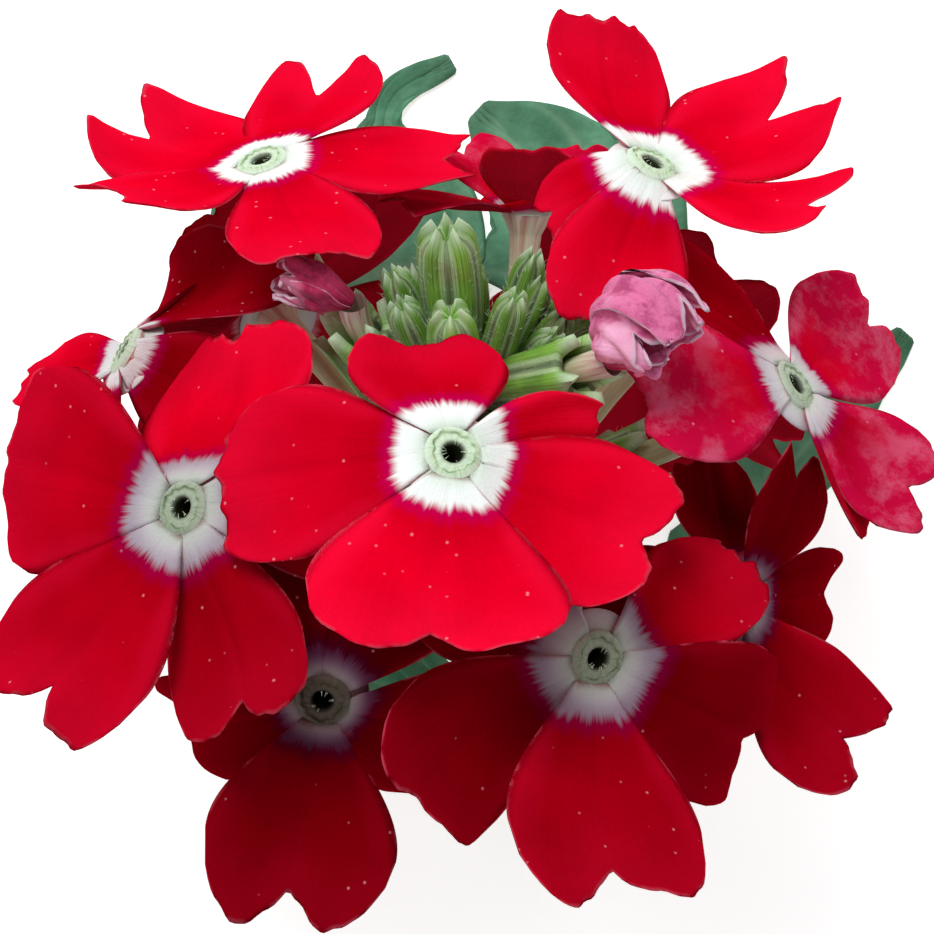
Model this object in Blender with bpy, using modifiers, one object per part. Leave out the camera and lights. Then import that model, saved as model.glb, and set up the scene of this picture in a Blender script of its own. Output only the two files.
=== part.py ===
"""A red and white verbena flower head, cut with a short stem and lying on its leaves.

Frame: metres, +Z up, the surface it lies on at z = 0, the origin under the middle of
its box. +Z is the side that the head shows, and +Y points away from the cut stem.
Sizes below are in millimetres and degrees, and are scaled once, where meshes are made.
"""

import math
from collections import namedtuple

import bmesh
import bpy
import numpy as np

MM = 0.001

# The head: a short rachis, tilted up from the surface, that every floret grows from
RACHIS_CENTRE = np.array([0.0, -2.0, 22.0])
RACHIS_TILT = 42.0
RACHIS_BELOW = 9.0
RACHIS_ABOVE = 9.0
BOX_SHIFT = np.array([-0.76, -0.24, 0.0])

# The stem below the rachis, as points that it bends through down to its cut end
STEM_BENDS = [
    (1.6, -13.2, 10.6),
    (3.2, -16.4, 6.4),
    (4.6, -18.8, 3.7),
    (5.8, -20.6, 2.3),
    (7.0, -22.6, 1.65),
    (8.2, -24.8, 1.5),
]
STEM_RADIUS = 1.2
NODE_RADIUS = 1.6
STEM_NODES = (1, 3)
RACHIS_RADIUS = 1.5
RACHIS_TIP_RADIUS = 1.1
SMOOTH_STEPS = 2

# Added to the rachis's axis, so that no ring's own zero direction is lost by being along it
RING_TURN = 0.31

# A calyx: a ribbed green cup with five teeth, which the floret's tube stands in
CALYX_LENGTH = 10.5
CALYX_SHARE = 0.55
BUD_CALYX_SHARE = 0.8
LONG_TUBE = 13.0
CALYX_FOOT_RADIUS = 0.7
CALYX_RADIUS = 1.65
CALYX_RIB = 0.08
CALYX_TEETH = 5
# (share of the way to the mouth, share of the radius)
CALYX_PROFILE = [(0.25, 0.62), (0.55, 0.92), (0.85, 1.0)]
RIM_WALL = 0.1
TOOTH_INSIDE = 0.9
TOOTH_LENGTH = 1.4
TOOTH_FLARE = 1.15
SOCKET_DEPTH = 3.0
BUD_SOCKET_DEPTH = 1.6

# A floret: a tube that opens into five two-lobed petals round a throat
TUBE_RADIUS = 0.8
FIT_GAP = 0.3
TUBE_BEND = 9.0
# (distance below the eye, radius) where the tube opens into the throat
TUBE_FUNNEL = [(3.0, 0.8), (1.4, 0.88), (0.5, 1.52)]
THROAT_RADIUS = 1.9
THROAT_RISE = 0.6
THROAT_HOLE_RADIUS = 0.55
THROAT_HOLE_DEPTH = 1.6
THROAT_HOLE_TAPER = 0.5
PETAL_THICKNESS = 0.6
PETAL_ROOT = 1.2
PETAL_ROOT_HALF_WIDTH = 0.8
PETAL_SIDE_LENGTH = 0.62
PETAL_GROWTH = 0.9
LOBE_PLACE = 0.5
PETAL_ACROSS = (-1.0, -0.82, -0.5, 0.0, 0.5, 0.82, 1.0)
PETAL_ALONG = (0.0, 0.38, 0.72, 1.0)

# turn: direction round the eye; long, wide: size; lift, curl: rise from the limb's plane at
# the root and its change to the tip; roll: twist about the midrib; notch: depth of the cleft
Petal = namedtuple("Petal", "turn long wide lift curl roll notch")
# eye: middle of the throat; azimuth, tilt: where the floret faces; foot: place on the rachis
Floret = namedtuple("Floret", "eye azimuth tilt foot petals")

FLORETS = {
    "front": Floret(
        eye=(-0.7, 0.7, 42.0), azimuth=67, tilt=26, foot=3,
        petals=(
            Petal(turn=99, long=7.6, wide=8.5, lift=-22, curl=-5, roll=10, notch=0.05),
            Petal(turn=19, long=7.4, wide=6, lift=-15, curl=0, roll=85, notch=0),
            Petal(turn=339, long=11, wide=10, lift=-25, curl=70, roll=-10, notch=0.05),
            Petal(turn=262, long=11, wide=13, lift=0, curl=45, roll=10, notch=0.15),
            Petal(turn=178, long=11.5, wide=9.5, lift=-30, curl=-5, roll=-5, notch=0.03),
        ),
    ),
    "left": Floret(
        eye=(-14.7, -2.1, 36.0), azimuth=157, tilt=33, foot=-1,
        petals=(
            Petal(turn=86, long=10.5, wide=12.5, lift=-35, curl=40, roll=-25, notch=0.1),
            Petal(turn=168, long=11.5, wide=10, lift=10, curl=-35, roll=-10, notch=0.05),
            Petal(turn=239, long=12.5, wide=11.5, lift=10, curl=20, roll=10, notch=0.2),
            Petal(turn=295, long=12, wide=8, lift=-10, curl=45, roll=-10, notch=0.15),
            Petal(turn=5, long=10.5, wide=8.5, lift=-30, curl=-10, roll=0, notch=0.15),
        ),
    ),
    "upper_left": Floret(
        eye=(-11.4, 17.0, 23.5), azimuth=109, tilt=58, foot=1,
        petals=(
            Petal(turn=78, long=9.5, wide=8.5, lift=-10, curl=30, roll=-5, notch=0.25),
            Petal(turn=146, long=10.6, wide=10.5, lift=-10, curl=55, roll=20, notch=0.2),
            Petal(turn=230, long=9.2, wide=8, lift=15, curl=25, roll=-5, notch=0.1),
            Petal(turn=296, long=12.2, wide=8.2, lift=-4, curl=12, roll=-25, notch=0.03),
            Petal(turn=9, long=10, wide=10, lift=-20, curl=10, roll=-5, notch=0.1),
        ),
    ),
    "upper_right": Floret(
        eye=(9.9, 16.3, 29.5), azimuth=61, tilt=59, foot=4,
        petals=(
            Petal(turn=95, long=10.5, wide=7.5, lift=-5, curl=55, roll=-5, notch=0.05),
            Petal(turn=27, long=10, wide=10, lift=15, curl=40, roll=-20, notch=0.25),
            Petal(turn=315, long=9.5, wide=8, lift=15, curl=40, roll=5, notch=0.15),
            Petal(turn=252, long=9.5, wide=7.5, lift=-38, curl=7, roll=15, notch=0.05),
            Petal(turn=190, long=6, wide=6, lift=-55, curl=0, roll=0, notch=0.15),
        ),
    ),
    "right": Floret(
        eye=(17.5, 4.4, 30.5), azimuth=33, tilt=62, foot=0,
        petals=(
            Petal(turn=36, long=11, wide=8, lift=0, curl=30, roll=-5, notch=0.2),
            Petal(turn=319, long=8.5, wide=8, lift=5, curl=30, roll=25, notch=0.15),
            Petal(turn=110, long=11, wide=9.5, lift=-24, curl=5, roll=-5, notch=0.15),
            Petal(turn=191, long=9.9, wide=8.4, lift=-17, curl=-15, roll=-10, notch=0.05),
            Petal(turn=313, long=7.5, wide=9, lift=-10, curl=0, roll=-10, notch=0.15),
        ),
    ),
    "far_left": Floret(
        eye=(-18.7, 6.4, 26.0), azimuth=151, tilt=76, foot=-1,
        petals=(
            Petal(turn=182, long=8.8, wide=6, lift=25, curl=0, roll=0, notch=0.1),
            Petal(turn=78, long=9.6, wide=10, lift=-43, curl=66, roll=60, notch=0.15),
            Petal(turn=325, long=6, wide=6, lift=-89, curl=36, roll=-24, notch=0.15),
            Petal(turn=248, long=10, wide=7.7, lift=-19, curl=-4, roll=-32, notch=0.1),
            Petal(turn=133, long=9.2, wide=8.1, lift=-26, curl=-34, roll=10, notch=0.1),
        ),
    ),
    "lower_left": Floret(
        eye=(-7.5, -12.1, 35.0), azimuth=-100, tilt=23, foot=-4,
        petals=(
            Petal(turn=261, long=11, wide=10.5, lift=10, curl=30, roll=20, notch=0.15),
            Petal(turn=206, long=10.5, wide=7, lift=-20, curl=-45, roll=0, notch=0.15),
            Petal(turn=328, long=10.5, wide=9.5, lift=-35, curl=0, roll=10, notch=0.15),
            Petal(turn=125, long=9.5, wide=8.5, lift=-20, curl=0, roll=10, notch=0.15),
            Petal(turn=56, long=10.5, wide=8.5, lift=-30, curl=-10, roll=0, notch=0.15),
        ),
    ),
    "lower_right": Floret(
        eye=(6.6, -9.7, 39.0), azimuth=-25, tilt=27, foot=-3,
        petals=(
            Petal(turn=259, long=12.5, wide=10.5, lift=30, curl=45, roll=10, notch=0.15),
            Petal(turn=209, long=12.5, wide=8.5, lift=-10, curl=75, roll=20, notch=0.05),
            Petal(turn=332, long=12, wide=9, lift=5, curl=-55, roll=0, notch=0.15),
            Petal(turn=21, long=10, wide=6.5, lift=-20, curl=10, roll=-60, notch=0.05),
            Petal(turn=146, long=10, wide=8.5, lift=-40, curl=-20, roll=5, notch=0.15),
        ),
    ),
    "far_right": Floret(
        eye=(15.1, -7.2, 29.0), azimuth=-2, tilt=58, foot=-3,
        petals=(
            Petal(turn=300, long=10.5, wide=10, lift=10, curl=75, roll=5, notch=0.2),
            Petal(turn=359, long=11.5, wide=5.5, lift=5, curl=-30, roll=0, notch=0.15),
            Petal(turn=77, long=7.5, wide=8.5, lift=30, curl=-35, roll=0, notch=0.2),
            Petal(turn=96, long=7, wide=8, lift=-25, curl=15, roll=-10, notch=0.03),
            Petal(turn=189, long=10, wide=8.5, lift=-25, curl=-5, roll=0, notch=0.15),
        ),
    ),
    "top": Floret(
        eye=(3.4, 14.6, 20.0), azimuth=87, tilt=78, foot=-3,
        petals=(
            Petal(turn=269, long=6.5, wide=6, lift=45, curl=-15, roll=0, notch=0.1),
            Petal(turn=331, long=5.5, wide=6, lift=45, curl=-15, roll=0, notch=0.15),
            Petal(turn=54, long=6.5, wide=6, lift=35, curl=-20, roll=0, notch=0.15),
            Petal(turn=126, long=6.5, wide=6, lift=35, curl=-20, roll=0, notch=0.15),
            Petal(turn=205, long=7.5, wide=6.5, lift=10, curl=-20, roll=0, notch=0.15),
        ),
    ),
    "back_right": Floret(
        eye=(11.5, 8.0, 10.0), azimuth=48, tilt=131, foot=-5,
        petals=tuple(
            Petal(turn=15 + 72 * k, long=10, wide=8.5, lift=-15, curl=0, roll=10, notch=0.15)
            for k in range(5)
        ),
    ),
    "back_left": Floret(
        eye=(-11.5, 9.0, 9.5), azimuth=140, tilt=136, foot=-5,
        petals=tuple(
            Petal(turn=45 + 72 * k, long=10, wide=8.5, lift=-10, curl=0, roll=10, notch=0.15)
            for k in range(5)
        ),
    ),
}

# Pink petals still folded, each on its own calyx: middle, way it points, half length and
# radius; its tube leaves the rachis at foot and arrives under the petals past bend
PinkBud = namedtuple("PinkBud", "centre azimuth tilt half_length radius foot bend")
PINK_BUDS = {
    "right": PinkBud(
        centre=(8.1, 7.6, 39.4), azimuth=74, tilt=48, half_length=3.0, radius=2.4, foot=8,
        bend=(3.9, 4.6, 34.2),
    ),
    "left": PinkBud(
        centre=(-7.9, 9.5, 31.8), azimuth=158, tilt=66, half_length=2.1, radius=1.2, foot=5,
        bend=(-5.8, 5.9, 28.2),
    ),
}
BUD_FOLDS = 5
BUD_SIDES = 15
BUD_RINGS = 7
BUD_FOLD_DEPTH = 0.3
BUD_TWIST = 50.0
BUD_TUBE_INSIDE = 1.2
# Where the first and last ring are along a bud, and the powers that shape its oval
BUD_ENDS = (0.04, 0.97)
BUD_SWELL = (0.85, 0.75)

# Green buds: closed calyces crowded on the rachis. azimuth: about it, off_axis: angle from
# it, reach: from its centre to the bud's tip
GreenBud = namedtuple("GreenBud", "azimuth off_axis reach radius")
GREEN_BUDS = [
    GreenBud(azimuth=-167, off_axis=3.4, reach=19.9, radius=1.65),
    GreenBud(azimuth=-106, off_axis=11.2, reach=16.9, radius=1.35),
    GreenBud(azimuth=170, off_axis=14.3, reach=16.7, radius=0.95),
    GreenBud(azimuth=-154, off_axis=14, reach=16.5, radius=1.0),
    GreenBud(azimuth=-166, off_axis=22, reach=11.5, radius=0.9),
    GreenBud(azimuth=18, off_axis=12.6, reach=17.5, radius=0.9),
    GreenBud(azimuth=6, off_axis=14.6, reach=16.6, radius=0.85),
    GreenBud(azimuth=-4, off_axis=20.5, reach=15.2, radius=0.9),
    GreenBud(azimuth=-27, off_axis=20.2, reach=15.3, radius=0.95),
    GreenBud(azimuth=-45, off_axis=12, reach=17.6, radius=0.95),
    GreenBud(azimuth=90, off_axis=11, reach=15, radius=1.3),
    GreenBud(azimuth=118, off_axis=25, reach=14, radius=1.3),
    GreenBud(azimuth=8, off_axis=33, reach=14, radius=1.1),
    GreenBud(azimuth=-150, off_axis=16, reach=12.5, radius=1.3),
]
GREEN_BUD_FOOT = 4.0
# (share of a green bud's length, share of its radius), then how its tip closes
GREEN_BUD_PROFILE = [(0.0, 0.6), (0.3, 0.66), (0.6, 0.95), (0.82, 1.0), (0.93, 0.82)]
GREEN_BUD_TOOTH = 0.9
GREEN_BUD_RIM = (0.39, 0.53)
GREEN_BUD_DIP = 0.9

# Leaves: a toothed blade along a bent line on the surface, with half widths along it
Leaf = namedtuple("Leaf", "line height half_widths teeth")
LEAF_THICKNESS = 0.6
LEAF_DROP = 0.28
LEAF_TOOTH = 0.3
LEAF_RIPPLE = 1.1
LEAF_ACROSS = (-1.0, -0.5, 0.0, 0.5, 1.0)
LEAVES = {
    "left": Leaf(
        line=[(1.3, -15.4), (-5, -10), (-9.5, -2), (-10.5, 7), (-5.8, 16), (-4.9, 22.8), (-0.9, 25.4)],
        height=5.6,
        half_widths=[0.8, 1.4, 4.2, 6.0, 6.6, 8.0, 7.4, 1.3, 0.7],
        teeth=7,
    ),
    "far_right": Leaf(
        line=[(7.9, -19.8), (12, -11), (16, -5), (21.5, 1.5), (27.6, 8.4)],
        height=2.0,
        half_widths=[0.8, 1.4, 3.6, 3.2, 0.7],
        teeth=6,
    ),
    "right": Leaf(
        line=[(4.9, -14.9), (7.5, -8), (9.2, 2), (8.8, 11), (5.6, 17.6), (0.6, 22.4)],
        height=5.6,
        half_widths=[0.8, 1.2, 4.6, 6.0, 6.0, 0.9],
        teeth=6,
    ),
    "lower_left": Leaf(
        line=[(3.4, -19.9), (0.5, -16.9), (-5, -14.7), (-10, -16.4), (-13.5, -19.5)],
        height=2.0,
        half_widths=[0.8, 1.6, 2.5, 2.6, 0.6],
        teeth=4,
    ),
}


def material(name, colour, roughness):
    """A Principled material with one plain colour."""
    made = bpy.data.materials.new(name)
    made.use_nodes = True
    shader = made.node_tree.nodes["Principled BSDF"]
    shader.inputs["Base Color"].default_value = (*colour, 1.0)
    shader.inputs["Roughness"].default_value = roughness
    shader.inputs["Metallic"].default_value = 0.0
    made.diffuse_color = (*colour, 1.0)
    return made


def clear_scene():
    for old in list(bpy.data.objects):
        bpy.data.objects.remove(old, do_unlink=True)


def collection(name):
    made = bpy.data.collections.new(name)
    bpy.context.scene.collection.children.link(made)
    return made


def unit(vector):
    return vector / np.linalg.norm(vector)


def direction(azimuth, tilt):
    """A unit vector tilted away from +Z, towards an azimuth measured from +X."""
    a = math.radians(azimuth)
    t = math.radians(tilt)
    return np.array([math.sin(t) * math.cos(a), math.sin(t) * math.sin(a), math.cos(t)])


def rachis_axis():
    return direction(90.0, 90.0 - RACHIS_TILT)


def rachis_point(place):
    return RACHIS_CENTRE + rachis_axis() * place


def limb_frame(azimuth, tilt):
    """The floret's facing direction, and the two directions in its limb's plane that
    +X and +Y turn into when +Z is tilted straight to that facing direction."""
    facing = direction(azimuth, tilt)
    a = math.radians(azimuth)
    hinge = np.array([-math.sin(a), math.cos(a), 0.0])
    turned = []
    for axis in np.eye(3)[:2]:
        t = math.radians(tilt)
        turned.append(
            axis * math.cos(t)
            + np.cross(hinge, axis) * math.sin(t)
            + hinge * hinge.dot(axis) * (1 - math.cos(t))
        )
    return facing, turned[0], turned[1]


def petal_edge(across, notch):
    """How far the edge reaches, as a share of the petal's length: two round lobes, a cleft
    between them, and round shoulders down to the sides."""
    reach = np.abs(across)
    shoulder = np.clip((reach - LOBE_PLACE) / (1 - LOBE_PLACE), 0, 1)
    outer = 1 - (1 - PETAL_SIDE_LENGTH) * (1 - np.sqrt(1 - shoulder**2))
    inner = 1 - notch * (1 - np.clip(reach / LOBE_PLACE, 0, 1)) ** 2
    return np.where(reach < LOBE_PLACE, inner, outer)


def petal_surface(floret, petal, across, along):
    """Points of a petal's middle surface, for arrays across (-1 to 1) and along (0 to 1).

    The midrib leaves the eye in the limb's plane, at an angle that goes from lift by curl
    as the square of the way along. The blade widens as a quarter sine, and rolls about it.
    """
    facing, plane_x, plane_y = limb_frame(floret.azimuth, floret.tilt)
    turn = math.radians(petal.turn)
    outward = math.cos(turn) * plane_x + math.sin(turn) * plane_y
    sideways = np.cross(facing, outward)
    way = along * petal_edge(across, petal.notch)
    nodes, weights = np.polynomial.legendre.leggauss(6)
    steps = (nodes + 1) / 2
    angles = np.radians(petal.lift + petal.curl * (way[..., None] * steps) ** 2)
    out = PETAL_ROOT + petal.long * way * (np.cos(angles) * weights / 2).sum(-1)
    rise = petal.long * way * (np.sin(angles) * weights / 2).sum(-1)
    slope = np.radians(petal.lift + petal.curl * way**2)[..., None]
    roll = np.radians(petal.roll * way)[..., None]
    growth = np.sin(math.pi / 2 * along) ** PETAL_GROWTH
    half_width = PETAL_ROOT_HALF_WIDTH + (petal.wide / 2 - PETAL_ROOT_HALF_WIDTH) * growth
    normal = -np.sin(slope) * outward + np.cos(slope) * facing
    lateral = np.cos(roll) * sideways + np.sin(roll) * normal
    midrib = np.array(floret.eye) + out[..., None] * outward + rise[..., None] * facing
    return midrib + (across * half_width)[..., None] * lateral


def grid_faces(rows, columns, closed=False):
    """Triangles over a grid of points kept row by row; closed joins the last column to the first."""
    faces = []
    spans = columns if closed else columns - 1
    for row in range(rows - 1):
        for column in range(spans):
            beside = (column + 1) % columns
            a = row * columns + column
            b = row * columns + beside
            faces.append((a, b, b + columns))
            faces.append((a, b + columns, a + columns))
    return faces


def mesh_object(name, points, faces, target):
    """A mesh object from points in millimetres, moved so that the box is over the origin."""
    mesh = bpy.data.meshes.new(name)
    placed = (np.asarray(points, float).reshape(-1, 3) + BOX_SHIFT) * MM
    mesh.from_pydata(placed.tolist(), [], [tuple(face) for face in faces])
    made = bpy.data.objects.new(name, mesh)
    target.objects.link(made)
    return made


def thicken(made, thickness):
    solid = made.modifiers.new("thickness", "SOLIDIFY")
    solid.thickness = thickness * MM
    solid.offset = 0.0


def path_along(start, bend, end, count=41):
    """Points of the curve from start to end that leaves and arrives towards one bend."""
    t = np.linspace(0, 1, count)[:, None]
    return (1 - t) ** 2 * start + 2 * t * (1 - t) * bend + t**2 * end


def lengths_along(path):
    return np.concatenate([[0.0], np.cumsum(np.linalg.norm(np.diff(path, axis=0), axis=1))])


def point_at(path, length):
    run = lengths_along(path)
    return np.array([np.interp(length, run, path[:, k]) for k in range(3)])


def heading_at(path, length):
    step = 0.2
    total = lengths_along(path)[-1]
    before = max(length - step, 0.0)
    after = min(length + step, total)
    return unit(point_at(path, after) - point_at(path, before))


def ring_round(path, length, radii, shifts, start=0.0):
    """Points round the path at one length along it, each with its own radius and its own
    shift along the path's heading."""
    heading = heading_at(path, length)
    first = unit(np.cross(heading, rachis_axis() + RING_TURN))
    second = np.cross(heading, first)
    angles = start + 2 * math.pi * np.arange(len(radii)) / len(radii)
    spread = np.cos(angles)[:, None] * first + np.sin(angles)[:, None] * second
    return point_at(path, length) + spread * radii[:, None] + heading * shifts[:, None]


def floret_path(floret):
    facing = direction(floret.azimuth, floret.tilt)
    eye = np.array(floret.eye)
    return path_along(rachis_point(floret.foot), eye - facing * TUBE_BEND, eye)


def pink_bud_path(bud):
    pointing = direction(bud.azimuth, bud.tilt)
    base = np.array(bud.centre) - pointing * bud.half_length
    return path_along(rachis_point(bud.foot), np.array(bud.bend), base)


def calyx_reach(path):
    """The length along a floret's path that its calyx's mouth is at."""
    total = lengths_along(path)[-1]
    share = CALYX_SHARE if total > LONG_TUBE else BUD_CALYX_SHARE
    return min(CALYX_LENGTH, share * total)


def socket_depth(path):
    """How deep the round socket in a calyx's mouth is; a short bud's calyx has less of it."""
    return SOCKET_DEPTH if lengths_along(path)[-1] > LONG_TUBE else BUD_SOCKET_DEPTH


def tube_foot(path):
    """The length along the path where the tube starts, just above the socket's floor."""
    return calyx_reach(path) - socket_depth(path) + FIT_GAP


def calyx_profile(mouth):
    """(length along the path, radius) from the foot to just below the mouth."""
    stations = [(share * mouth, part * CALYX_RADIUS) for share, part in CALYX_PROFILE]
    return [(0.0, CALYX_FOOT_RADIUS), *stations]


def ribbed(radius, sides):
    """The same radius raised on every other point, and lowered between."""
    sign = np.where(np.arange(sides) % 2 == 0, 1.0, -1.0)
    return radius * (1 + CALYX_RIB * sign)


def add_calyx(name, path, target):
    """An open calyx with its teeth, and a plain round socket in its mouth."""
    sides = 2 * CALYX_TEETH
    mouth = calyx_reach(path)
    teeth = np.where(np.arange(sides) % 2 == 0, TOOTH_LENGTH, 0.0)
    flare = np.where(np.arange(sides) % 2 == 0, TOOTH_FLARE, 1.0)
    socket = np.full(sides, TUBE_RADIUS + FIT_GAP)
    flat = np.zeros(sides)
    rings = [ring_round(path, at, ribbed(radius, sides), flat) for at, radius in calyx_profile(mouth)]
    rings.append(ring_round(path, mouth, CALYX_RADIUS * flare, teeth))
    rings.append(ring_round(path, mouth, socket * flare + RIM_WALL, teeth * TOOTH_INSIDE))
    rings.append(ring_round(path, mouth - socket_depth(path), socket, flat))
    points = np.concatenate(rings)
    faces = grid_faces(len(rings), sides, closed=True)
    last = len(points) - sides
    faces.append(tuple(range(sides))[::-1])
    faces.append(tuple(last + k for k in range(sides)))
    return face_outward(mesh_object(name, points, faces, target))


def add_green_bud(name, tip, radius, target):
    """A closed calyx, its five teeth meeting over the bud inside."""
    sides = 2 * CALYX_TEETH
    foot = rachis_point(GREEN_BUD_FOOT)
    path = np.linspace(foot, tip, 5)
    reach = lengths_along(path)[-1]
    on_rib = np.arange(sides) % 2 == 0
    teeth = np.where(on_rib, GREEN_BUD_TOOTH, 0.0)
    flat = np.zeros(sides)
    rings = [
        ring_round(path, share * reach, ribbed(part * radius, sides), flat)
        for share, part in GREEN_BUD_PROFILE
    ]
    tooth_rim, groove_rim = GREEN_BUD_RIM
    rim = np.where(on_rib, tooth_rim, groove_rim) * radius
    rings.append(ring_round(path, reach - 0.6 * GREEN_BUD_DIP, rim, teeth))
    points = np.concatenate([*rings, [point_at(path, reach - GREEN_BUD_DIP)]])
    faces = grid_faces(len(rings), sides, closed=True)
    faces.append(tuple(range(sides))[::-1])
    last = len(rings) * sides
    for k in range(sides):
        faces.append((last - sides + k, last - sides + (k + 1) % sides, last))
    return face_outward(mesh_object(name, points, faces, target))


def face_outward(made):
    """Turn a closed mesh's faces to point out."""
    work = bmesh.new()
    work.from_mesh(made.data)
    bmesh.ops.recalc_face_normals(work, faces=work.faces)
    work.to_mesh(made.data)
    work.free()
    return made


def rod(name, points, radii, target):
    """A round rod through points in millimetres, as a closed mesh."""
    curve = bpy.data.curves.new(name, "CURVE")
    curve.dimensions = "3D"
    curve.bevel_depth = MM
    curve.bevel_resolution = 2
    curve.use_fill_caps = True
    spline = curve.splines.new("POLY")
    spline.points.add(len(points) - 1)
    for place, point, radius in zip(spline.points, points, radii):
        place.co = (*((np.asarray(point) + BOX_SHIFT) * MM), 1.0)
        place.radius = radius
    drawn = bpy.data.objects.new(name, curve)
    target.objects.link(drawn)
    made = as_mesh(drawn, name, target)
    work = bmesh.new()
    work.from_mesh(made.data)
    bmesh.ops.remove_doubles(work, verts=work.verts, dist=1e-6)
    bmesh.ops.recalc_face_normals(work, faces=work.faces)
    work.to_mesh(made.data)
    work.free()
    return made


def as_mesh(drawn, name, target):
    """Replace an object by a plain mesh of the shape its modifiers or its curve make."""
    bpy.context.view_layer.update()
    graph = bpy.context.evaluated_depsgraph_get()
    mesh = bpy.data.meshes.new_from_object(drawn.evaluated_get(graph))
    placed = drawn.matrix_world.copy()
    bpy.data.objects.remove(drawn, do_unlink=True)
    mesh.name = name
    made = bpy.data.objects.new(name, mesh)
    made.matrix_world = placed
    target.objects.link(made)
    return made


def fuse(name, base, pieces, target):
    """One solid from a base and all that a collection holds, which is then removed."""
    join = base.modifiers.new("union", "BOOLEAN")
    join.operation = "UNION"
    join.solver = "EXACT"
    join.operand_type = "COLLECTION"
    join.collection = pieces
    made = as_mesh(base, name, target)
    for piece in list(pieces.objects):
        bpy.data.objects.remove(piece, do_unlink=True)
    bpy.data.collections.remove(pieces)
    return made


def cut(made, cutter, target):
    """Take a cutter out of a solid, and remove the cutter."""
    bore = made.modifiers.new("cut", "BOOLEAN")
    bore.operation = "DIFFERENCE"
    bore.solver = "EXACT"
    bore.object = cutter
    cutter.hide_render = True
    cutter.display_type = "WIRE"
    name = made.name
    result = as_mesh(made, name, target)
    bpy.data.objects.remove(cutter, do_unlink=True)
    result.name = name
    return result


def smooth_path(bends, steps):
    """Points of a smooth curve through bends, with steps of them for each stretch."""
    bends = np.asarray(bends, float)
    ends = np.concatenate([[2 * bends[0] - bends[1]], bends, [2 * bends[-1] - bends[-2]]])
    points = []
    for before, here, there, after in zip(ends, ends[1:], ends[2:], ends[3:]):
        for t in np.arange(steps) / steps:
            points.append(
                0.5
                * (
                    2 * here
                    + (there - before) * t
                    + (2 * before - 5 * here + 4 * there - after) * t**2
                    + (3 * here - before - 3 * there + after) * t**3
                )
            )
    return np.array([*points, bends[-1]])


def add_stem(name, target):
    """The rachis and the stem below it, thicker where leaves grow, down to the cut end."""
    bends = [rachis_point(RACHIS_ABOVE), rachis_point(0.0), rachis_point(-RACHIS_BELOW)]
    radii = [RACHIS_TIP_RADIUS, RACHIS_RADIUS, STEM_RADIUS]
    for index, bend in enumerate(STEM_BENDS):
        bends.append(np.array(bend))
        radii.append(NODE_RADIUS if index in STEM_NODES else STEM_RADIUS)
    points = smooth_path(bends, SMOOTH_STEPS)
    spread = np.interp(np.arange(len(points)) / SMOOTH_STEPS, np.arange(len(radii)), radii)
    return rod(name, points, spread, target)


def green_bud_tip(bud):
    """A place at a distance from the rachis's centre, at an angle off its axis."""
    axis = rachis_axis()
    across = np.array([1.0, 0.0, 0.0])
    back = np.cross(axis, across)
    a = math.radians(bud.azimuth)
    o = math.radians(bud.off_axis)
    side = math.cos(a) * across + math.sin(a) * back
    return RACHIS_CENTRE + bud.reach * (math.cos(o) * axis + math.sin(o) * side)


def add_green_head(target):
    """Stem, rachis, calyces and green buds, grown as one body."""
    pieces = collection("green_pieces")
    for name, floret in FLORETS.items():
        add_calyx("calyx_" + name, floret_path(floret), pieces)
    for name, bud in PINK_BUDS.items():
        add_calyx("bud_calyx_" + name, pink_bud_path(bud), pieces)
    for index, bud in enumerate(GREEN_BUDS):
        add_green_bud(f"green_bud_{index}", green_bud_tip(bud), bud.radius, pieces)
    return fuse("stem_and_calyces", add_stem("stem", target), pieces, target)


def tube_stations(path):
    """(length along the path, radius) of a floret's tube, from its foot in the socket to
    the funnel of its throat."""
    eye = lengths_along(path)[-1]
    foot = tube_foot(path)
    return [
        (foot, TUBE_RADIUS),
        (0.5 * (foot + eye), TUBE_RADIUS),
        *((eye - below, radius) for below, radius in TUBE_FUNNEL),
    ]


def add_tube(name, path, target):
    stations = tube_stations(path)
    points = [point_at(path, at) for at, _ in stations]
    radii = [radius for _, radius in stations]
    rise = THROAT_RISE * PETAL_THICKNESS
    points.append(path[-1] + heading_at(path, lengths_along(path)[-1]) * rise)
    radii.append(THROAT_RADIUS)
    return rod(name, points, radii, target)


def add_petal(name, floret, petal, target):
    across, along = np.meshgrid(np.array(PETAL_ACROSS), np.array(PETAL_ALONG))
    points = petal_surface(floret, petal, across, along)
    faces = grid_faces(len(PETAL_ALONG), len(PETAL_ACROSS))
    made = mesh_object(name, points, faces, target)
    thicken(made, PETAL_THICKNESS)
    return as_mesh(made, name, target)


def throat_cutter(path, target):
    """A cone that leaves the dark hole of the throat."""
    heading = heading_at(path, lengths_along(path)[-1])
    top = path[-1] + heading * PETAL_THICKNESS
    bottom = path[-1] - heading * THROAT_HOLE_DEPTH
    radii = [THROAT_HOLE_RADIUS, THROAT_HOLE_TAPER * THROAT_HOLE_RADIUS]
    return rod("throat_hole", [top, bottom], radii, target)


def add_corolla(name, floret, target, cutters):
    path = floret_path(floret)
    pieces = collection("petals_" + name)
    for index, petal in enumerate(floret.petals):
        add_petal(f"petal_{name}_{index}", floret, petal, pieces)
    whole = fuse("corolla_" + name, add_tube("tube_" + name, path, target), pieces, target)
    return cut(whole, throat_cutter(path, cutters), target)


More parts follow.
